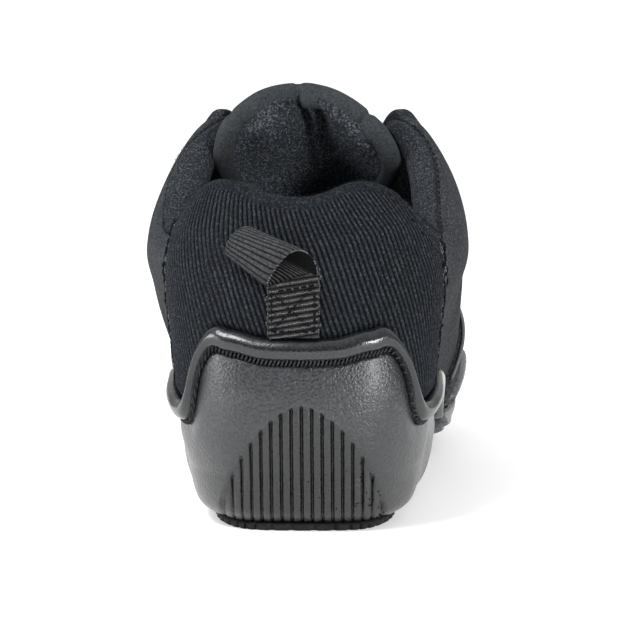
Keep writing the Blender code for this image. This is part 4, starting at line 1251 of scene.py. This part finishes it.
def build_overlays(mats):
    """Toe guard with its pale cut edge, and the band round the throat."""
    v = np.linspace(0, 1, 26)[:, None]
    start = s_of(GUARD_START)
    s = np.linspace(start, 1 - start, 300)[None, :]
    rim = rim_height(FORE_RIM, s)
    low = t_at_height(s, rim - 1.0)
    rise = GUARD_RISE * hump(reach_of(s) - GUARD_REACH, GUARD_LENGTH)
    high = t_at_height(s, np.maximum(rim_height(GUARD_TOP, s), rim + 4.0) + rise)
    overlay_piece("toe_guard_panel", s, low + (high - low) * v, mats["neoprene"], ["toe_guard"])
    path = over_collar(s[0], high[0], SEAT_GAP + 0.85 * PANEL_THICK)
    strip = flat_strip(path, np.zeros_like(path) + (0.0, 0.0, 0.5), 0.9, 5)
    closed_sweep("toe_guard_edge", strip, mats["edge"])
    start = s_of(STAY_START)
    s = np.linspace(start, 1 - start, 360)[None, :]
    low = throat_t(s, STAY_WIDTH)
    overlay_piece("eyestay_band", s, low + (STAY_Q - low) * v, mats["weave"], ["eyestay"], 0.25)


# Tongue

def tongue_face(length, b, depth):
    """Point of the tongue at a share of its length and of its half width, and a share of its depth."""
    rows = np.array(TONGUE, float)
    table = np.column_stack([np.arange(len(rows)), rows])
    at = np.asarray(length, float) * (len(rows) - 1)
    x, u, z, half, curl, thick = np.moveaxis(table_at(table, at), -1, 0)
    ahead = table_at(table, np.clip(at + 0.02, 0, len(rows) - 1))
    behind = table_at(table, np.clip(at - 0.02, 0, len(rows) - 1))
    du, dz = ahead[..., 1] - behind[..., 1], ahead[..., 2] - behind[..., 2]
    size = np.hypot(du, dz)
    nu, nz = dz / size, -du / size
    drop = curl * (half * b / TONGUE_HALF) ** 2 + depth * thick
    return np.stack(np.broadcast_arrays(x + half * b, u - nu * drop, z - nz * drop), -1)


def build_tongue(mats, rows=130, columns=120):
    """Padded tongue with lining on its inner face."""
    length = np.linspace(0, TONGUE_END, rows)[:, None]
    b = np.linspace(-1, 1, columns)[None, :]
    round_edge = (1 - np.abs(b) ** 5) ** 0.5 * np.clip((1 - length) / 0.02, 0, 1) ** 0.5
    front = tongue_face(length, b, 0.5 - 0.5 * round_edge)
    back = tongue_face(length, b, 0.5 + 0.5 * round_edge)
    pile = layered_noise(back, TONGUE_PILE) * round_edge
    high = hump(length - FOLD_MIDDLE, FOLD_LENGTH)
    for fold in TONGUE_FOLDS:
        pile = pile + fold.height * high * round_edge ** 3 * hump(b - fold.b, fold.width)
    inward = unit(tongue_face(length, b, 1.0) - tongue_face(length, b, 0.0))
    points = np.stack([front, back + inward * pile[..., None]])
    faces = sheet_faces(rows, columns)
    grid = (rows - 1) * (columns - 1)
    which = np.zeros(len(faces), int)
    which[grid:2 * grid] = 1
    cloths = [mats["weave"], mats["tongue_fleece"]]
    tongue = add_piece("tongue_pad", points, faces, cloths, ["tongue"], which)


def build_tongue_binding(mats, columns=260, sides=28):
    """Smooth band round the tongue's edge, with creases where it turns."""
    up = np.linspace(BINDING_START, 1.0, 60)
    over = tongue_face(np.ones(17), np.linspace(-1, 1, 19)[1:-1], 0.5)
    path = np.concatenate([tongue_face(up, -1.0, 0.5), over, tongue_face(up[::-1], 1.0, 0.5)])
    for _ in range(14):
        path[1:-1] = (path[:-2] + 2 * path[1:-1] + path[2:]) / 4
    share = np.linspace(0, 1, columns)
    path = along_path(path, share * run_length(path)[-1])
    along = unit(np.gradient(path, axis=0))
    inward = unit(path.mean(0) - path)
    inward = unit(inward - along * np.sum(inward * along, -1, keepdims=True))
    deep = np.cross(along, inward)
    fold = np.clip(np.minimum(share, 1 - share) / 0.05, 0.05, 1) ** 0.5
    fold *= 1 - sum(crease.depth * hump(share - crease.share, crease.width) for crease in BAND_CREASES)
    top = np.clip(1 - np.abs(share - 0.5) / 0.5, 0, 1)
    wide, tall = ((ends + growth * top) * fold for ends, growth in (BINDING_HALF, BINDING_DEEP))
    profiles = []
    for k in range(sides):
        c, d = blunt(2 * math.pi * k / sides, 0.8)
        across = inward * ((c + BINDING_IN) * wide)[:, None]
        profiles.append(path + across + deep * (d * tall)[:, None])
    binding = closed_sweep("tongue_edge_band", np.stack(profiles, axis=1), mats["binding"])


# Webbing

def loop_surface(round_loop, along, depth):
    """Point of the free loop: a share round it, a share from open end to far end, a depth in the webbing."""
    rows = np.array(LOOP_RIM)
    at = np.linspace(0, 1, len(rows) + 1)
    knots = np.column_stack([np.concatenate([at[-3:-1] - 1, at, at[1:3] + 1]),
                             np.concatenate([rows[-2:], rows, rows[:1], rows[1:3]])])
    values = table_at(knots, round_loop % 1.0)
    open_end, far_end = values[..., :3], values[..., 3:]
    place = open_end + (far_end - open_end) * along[..., None]
    middle = rows.mean(0)
    middle = middle[:3] + (middle[3:] - middle[:3]) * along[..., None]
    inward = unit((middle - place) * (0.5, 1.0, 0.6))
    place = place + inward * depth[..., None]
    return behind_panel(place[..., 0], place[..., 2], place[..., 1])


def loop_mesh(around=300, along=24):
    """Profiles of the free loop and their lift: painted light on the ribs outside, painted shade in the
    hollow with some painted light on the far wall's ribs towards the open end.
    """
    turn = (np.arange(around) / around)[:, None]
    run = np.linspace(0, 1, along)[None, :]
    back = run[:, ::-1]
    rib = np.abs(np.sin(math.pi * turn * LOOP_RIBS)) ** 0.8 + 0 * run
    edge = 0.5 * WEB_THICK * (1 - np.clip(np.minimum(run, 1 - run) * 12, 0, 1) ** 0.5)
    outer = loop_surface(turn, run + 0 * turn, edge - LOOP_RIB_HEIGHT * rib)
    inner = loop_surface(turn, back + 0 * turn, WEB_THICK - edge + 0 * rib)
    far_wall = np.clip((turn - 0.56) * 12, 0, 1)
    # painted shade inside the loop, lightened only on the far wall's ribs towards the open end
    hollow = np.clip(2 * rib - 1.1, 0, 1) * far_wall * np.clip(1.3 - 2.5 * back, 0, 1)
    return np.concatenate([outer, inner], axis=1), np.concatenate([rib, hollow], axis=1)


def tab_mesh(rows=160, columns=60):
    """Both faces of the tab of two layers that is sewn flat, and their lift."""
    x = np.linspace(-1, 1, columns)[None, :]
    z = TAB_FOOT_Z + (TAB_TOP + TAB_RISE * x - TAB_FOOT_Z) * np.linspace(0, 1, rows)[:, None]
    ribs = np.abs(np.sin(math.pi * (z - TAB_FOOT_Z - TAB_RISE * x * 0.5) / TAB_PITCH)) ** 0.8
    side = np.clip((1 - np.abs(x)) * 14, 0, 1) ** 0.5
    out = GAP + 2 * WEB_THICK * (0.5 + 0.5 * side) + TAB_RIB_HEIGHT * ribs
    across = TAB_X + WEB_HALF * x + 0 * z
    faces = np.stack([behind_panel(across, z, out), behind_panel(across, z, 0.15 + 0 * z)])
    # lift: painted light on the tab's ribs and painted shade between them
    return faces, np.stack([0.7 * ribs, 0 * ribs])


def build_webbing(mats):
    """Pull loop: the sewn tab, and the free loop that leans to the medial side."""
    loop, loop_lift = loop_mesh()
    tab, tab_lift = tab_mesh()
    faces = quads(*loop.shape[:2], close_rows=True, close_columns=True)
    faces = np.concatenate([faces, sheet_faces(*tab.shape[1:3], start=loop_lift.size)])
    points = np.concatenate([loop.reshape(-1, 3), tab.reshape(-1, 3)])
    lift = np.concatenate([loop_lift.ravel(), tab_lift.ravel()])
    add_piece("pull_webbing", points, faces, mats["webbing"], ["pull_tab", "pull_loop"], lift=lift)


def build_yarns(mats, seed=3):
    """Pale yarns along the tab's ribs, and the selvedge of tab and loop, a little uneven."""
    rng = np.random.default_rng(seed)
    runs = []
    for row in range(int((TAB_TOP - TAB_FOOT_Z) / TAB_PITCH) + 1):
        x = np.arange(-0.9, 0.9, YARN_STEP)
        x = x[rng.random(len(x)) < 0.9]
        z = TAB_FOOT_Z + (row + 0.5) * TAB_PITCH + 0.5 * TAB_RISE * x + rng.normal(0, 0.06, len(x))
        keep = z < TAB_TOP + TAB_RISE * x - 0.3
        x, z = x[keep], z[keep]
        behind = np.full(len(x), GAP + 2 * WEB_THICK + 0.28)
        runs.append((behind_panel(TAB_X + WEB_HALF * x, z, behind),
                     behind_panel(TAB_X + WEB_HALF * (x + YARN_LENGTH), z + 0.05, behind)))
    for side in (-1, 1):
        z = np.arange(TAB_FOOT_Z, TAB_TOP + TAB_RISE * side, SELVEDGE_STEP)
        behind = np.full(len(z), GAP + 1.5 * WEB_THICK)
        x = np.full(len(z), TAB_X + side * (WEB_HALF - 0.15)) + rng.normal(0, 0.22, len(z))
        runs.append((behind_panel(x, z, behind),
                     behind_panel(x + rng.normal(0, 0.35, len(z)), z + 0.42, behind + 0.15)))
    turn = np.arange(0, 1, 1 / 64)
    turn = turn[rng.random(len(turn)) < 0.7]
    even = np.ones(len(turn))
    runs.append((loop_surface(turn, 0.005 * even, 0.3 * WEB_THICK * even),
                 loop_surface(turn + 0.007, 0.0 * even, 0.5 * WEB_THICK * even)))
    stitches("webbing_yarns", runs, YARN_RADIUS, mats["yarn"])


# Stitches, lace and fibres

def build_sole_stitches(mats):
    """Slanting stitches in the grooves of both sole units."""
    cup_end, fore_start = HEEL_END - STITCH_END, FORE_START + STITCH_END
    runs = []
    for rim, first, last, base, (low, high) in (
            (CUP_RIM, -cup_end, cup_end, 0.0, CUP_STITCH),
            (FORE_RIM, fore_start, 2 * HALF_ROUND - fore_start, FORE_TREAD, FORE_STITCH)):
        reach = np.arange(first, last, STITCH_PITCH)
        runs.append((level_point(low, rim, base, s_of(reach)),
                     level_point(high, rim, base, s_of(reach + STITCH_SLANT))))
    stitches("sole_stitches", runs, SOLE_THREAD, mats["cord"])


def build_panel_stitches(mats):
    """Stitches below the heel panel's top edge and along the collar's lateral seam."""
    s = s_of(np.linspace(-0.96, 0.96, 400) * PANEL_TOP)
    hem = over_collar(s, lining_q(s) - HEM_Q, SEAT_GAP + PANEL_THICK + OVERLAY_EDGE)
    s = s_of(np.linspace(*COLLAR_SPAN, 160))
    collar = over_collar(s, lining_q(s) - COLLAR_Q, OVERLAY_EDGE)
    runs = [dashes(line, *PANEL_DASH) for line in (hem, collar)]
    stitches("panel_stitches", runs, PANEL_THREAD, mats["thread"])


def build_side_seams(mats, seed=5):
    """Uneven zigzag stitches down the heel panel's sides, with loose pale fibres between them."""
    rng = np.random.default_rng(seed)
    for name, count, size, radius, mat in (("seam_stitches", 46, 2.5, 0.55, "thread"),
                                           ("seam_fibres", 420, 0.8, 0.1, "edge")):
        v = np.tile(np.linspace(0.05, 0.93, count), 2) + rng.normal(0, 0.003, 2 * count)
        s = panel_s(np.repeat([-1.0, 1.0], count) * (SEAM_BESIDE + rng.normal(0, 0.014, 2 * count)), v)
        low = t_at_height(s, rim_height(CUP_RIM, s))
        q = low + (lining_q(s) - low) * v
        lift = SEAT_GAP + PANEL_THICK + rng.uniform(-0.1, 0.25, 2 * count)
        middle = over_collar(s, q, lift)
        away = unit(over_collar(s + 0.002, q + rng.normal(0.035, 0.02, 2 * count), lift) - middle)
        away *= size * rng.uniform(0.6, 1.1, (2 * count, 1)) / 2
        stitches(name, [(middle - away, middle + away)], radius, mats[mat])


def build_tab_stitches(mats, count=30):
    """Box and cross sewn through the pull loop's tab."""
    share = np.linspace(0, 1, count)
    behind = np.full(count, GAP + 2 * WEB_THICK + 0.5)
    runs = []
    for first, last in BOX_RUNS:
        (x0, z0), (x1, z1) = TAB_BOX[first], TAB_BOX[last]
        line = behind_panel(x0 + (x1 - x0) * share, z0 + (z1 - z0) * share, behind)
        runs.append(dashes(line, *TAB_DASH))
    stitches("loop_stitches", runs, TAB_THREAD, mats["thread"])


def lace_end(s):
    """An eyelet's frame, and the lace's way out of it and round the throat's edge."""
    t = float(throat_t(s, EYELET_INSET))
    normal, upward = upper_frame(s, t)
    lift = SEAT_GAP + PANEL_THICK + GAP
    centre = upper_at(s, t) + normal * lift
    above = EYELET_THICK + 2 * GAP + LACE_THICK / 2
    edge_normal, edge_up = upper_frame(s, 1.0)
    edge = upper_at(s, 1.0)
    turn = edge + (edge_normal * 0.6 + edge_up * 0.8) * (lift + above + loop_at(s).rim / 4)
    hole = [centre - normal * LACE_HOLE, centre + normal * (0.4 * above)]
    rise = centre + normal * above + unit(edge - centre) * LACE_LIE
    return centre, normal, upward, hole + [rise, edge + edge_normal * (lift + above), turn]


def eyelet_ring(centre, normal, upward, sides=28, tube=10):
    """Points of a rolled eyelet ring."""
    turn = np.linspace(0, 2 * math.pi, sides, endpoint=False)[:, None, None]
    roll = np.linspace(0, 2 * math.pi, tube, endpoint=False)[None, :, None]
    spoke = np.cos(turn) * upward + np.sin(turn) * np.cross(upward, normal)
    radius = (EYELET_OUTER + EYELET_INNER) / 2 + RING_WIDE * np.cos(roll)
    return centre + spoke * radius + normal * (RING_RISE + RING_TALL * np.sin(roll))


def lace_bar(s, ends, count=90):
    """Profiles of the flat lace from one eyelet of a pair to the other, and the ribs across it."""
    middle = (ends[0][-1] + ends[1][-1]) / 2 + (0, 0, LACE_BOW)
    path = smooth_rows(ends[0] + [middle] + ends[1][::-1], count).T
    run = np.linspace(0, 1, count)
    open_out = np.clip(np.minimum(run, 1 - run) / LACE_NARROW, 0, 1) ** 1.5
    down = unit((upper_at(s - 0.01, 1.0) - upper_at(s + 0.01, 1.0)) * (0, 1, 1))
    wide = down * LACE_WIDTH / 2 * (LACE_PINCH + (1 - LACE_PINCH) * open_out)[:, None]
    rib = np.abs(np.sin(math.pi * run_length(path) / LACE_RIB))
    return flat_strip(path, wide, LACE_THICK, 10, 0.1 * rib), rib


def build_lacing(mats):
    """Eyelet rings, and a flat lace that comes up through each pair and crosses over the tongue."""
    rings, ring_faces, laces, lace_faces, lifts = [], [], [], [], []
    for s in eyelet_places():
        ends = []
        for at in (s, 1 - s):
            *ring_frame, end = lace_end(at)
            ring = eyelet_ring(*ring_frame)
            sides, tube = ring.shape[:2]
            ring_faces.append(quads(sides, tube, True, True, len(rings) * sides * tube))
            rings.append(ring)
            ends.append(end)
        bar, rib = lace_bar(s, ends)
        count, size = bar.shape[:2]
        start = len(laces) * count * size
        lace_faces += quads(count, size, close_columns=True, start=start).tolist()
        lace_faces += end_caps(count, size, start)
        laces.append(bar)
        # lift: painted light on the lace's ribs and painted shade between them
        lifts.append(np.repeat(rib, size))
    numbers = range(1, EYELETS + 1)
    eyelets = [f"eyelet_{side}_{n}" for side in ("lateral", "medial") for n in numbers]
    add_piece("eyelet_rings", rings, np.concatenate(ring_faces), mats["enamel"], eyelets)
    bars = [f"lace_bar_{n}" for n in numbers]
    add_piece("lace_run", laces, lace_faces, mats["lace"], bars, lift=lifts)


def build_fuzz(mats, seed=7):
    """Short loose fibres on the lining's rolled edge and the heel panel's top."""
    rng = np.random.default_rng(seed)
    count = FUZZ_COUNT
    s = s_of(rng.uniform(-FUZZ_REACH, FUZZ_REACH, count))
    q = lining_q(s) + rng.normal(0.0, 0.03, count) + rng.uniform(0, 0.5, count) * (rng.random(count) < 0.7)
    q = np.maximum(q, 1.05)
    root = over_collar(s, q, 0.3)
    out = unit(over_collar(s, q, 1.3) - root)
    lean = rng.normal(0, 0.75, (count, 3))
    tip = root + unit(out + lean) * rng.uniform(0.5, 1.3, (count, 1))
    side = unit(rng.normal(0, 1, (count, 3))) * FUZZ_HALF
    points = np.stack([root - side, root + side, tip], axis=1)
    faces = np.arange(count * 3).reshape(-1, 3)
    add_piece("lining_fuzz", points, faces, mats["fleece"], face_out=False)


# Stage

def build_stage():
    """White floor with a faint glow."""
    mesh = bpy.data.meshes.new("floor")
    turns = np.linspace(0, 2 * math.pi, FLOOR_SIDES, endpoint=False)
    rim = [(FLOOR_RADIUS * math.cos(turn), FLOOR_RADIUS * math.sin(turn), 0.0) for turn in turns]
    mesh.from_pydata(rim, [], [list(range(FLOOR_SIDES))])
    floor = bpy.data.objects.new("floor", mesh)
    bpy.context.collection.objects.link(floor)
    mat, tree, shader = start_material("floor_white", 0.6, Emission_Color=(1.0, 1.0, 1.0, 1.0),
                                       Emission_Strength=FLOOR_GLOW)
    tone = ramp(tree, noise_value(tree, object_place(tree), 3.0), (0.3, 0.93), (0.7, 0.95))
    feed(tree, shader.inputs["Base Color"], tone)
    mesh.materials.append(mat)


def build_world():
    """Plain sky, brighter from above and dark behind the camera."""
    world = bpy.data.worlds.new("studio")
    world.use_nodes = True
    tree = world.node_tree
    way = axes_of(tree, add_node(tree, "ShaderNodeTexCoord").outputs["Generated"])
    ahead = math_node(tree, "ADD", math_node(tree, "MULTIPLY", way["Y"], 0.5), 0.5)
    sky = multiply(tree, ramp(tree, way["Z"], (0.0, 0.45), (0.75, 1.0)),
                   ramp(tree, ahead, (0.0, 0.15), (0.5, 1.0)))
    feed(tree, tree.nodes["Background"].inputs["Color"], sky)
    bpy.context.scene.world = world
    bpy.context.scene.view_settings.view_transform = "Standard"


def build_lamps():
    for lamp in LAMPS:
        data = bpy.data.lights.new(lamp.name, "AREA")
        data.shape = "RECTANGLE"
        data.size = lamp.wide
        data.size_y = lamp.tall
        data.energy = lamp.power
        light = bpy.data.objects.new(lamp.name, data)
        light.location = lamp.place
        way = Vector(LAMP_TARGET) - Vector(lamp.place)
        light.rotation_euler = way.to_track_quat("-Z", "Y").to_euler()
        bpy.context.collection.objects.link(light)


def build_camera():
    """The photo's camera, behind the heel and a little above."""
    data = bpy.data.cameras.new("camera")
    data.sensor_width = SENSOR
    data.lens = LENS_PX / IMAGE_PX * SENSOR
    data.clip_end = 50.0
    camera = bpy.data.objects.new("camera", data)
    bpy.context.collection.objects.link(camera)
    heel = Vector((-CENTRE_X, -CENTRE_U, 0.0))
    back = Vector((math.sin(CAMERA_TURN), -math.cos(CAMERA_TURN), 0.0)) * CAMERA_BACK
    camera.location = (heel + back + Vector((0, 0, CAMERA_HEIGHT))) * MM
    yaw = CAMERA_TURN - math.atan((IMAGE_PX / 2 - HEEL_PX) / LENS_PX)
    camera.rotation_euler = (math.pi / 2 - CAMERA_PITCH, 0.0, yaw)
    bpy.context.scene.camera = camera


def main():
    for build in (build_world, build_lamps, build_camera, build_stage):
        build()
    mats = make_materials()
    for build in (build_upper, build_heel_cup, build_forefoot, build_plates, build_arch, build_back_panel,
                  build_overlays, build_tongue, build_tongue_binding, build_webbing, build_yarns,
                  build_lacing, build_sole_stitches, build_panel_stitches, build_side_seams,
                  build_tab_stitches, build_fuzz):
        build(mats)


main()
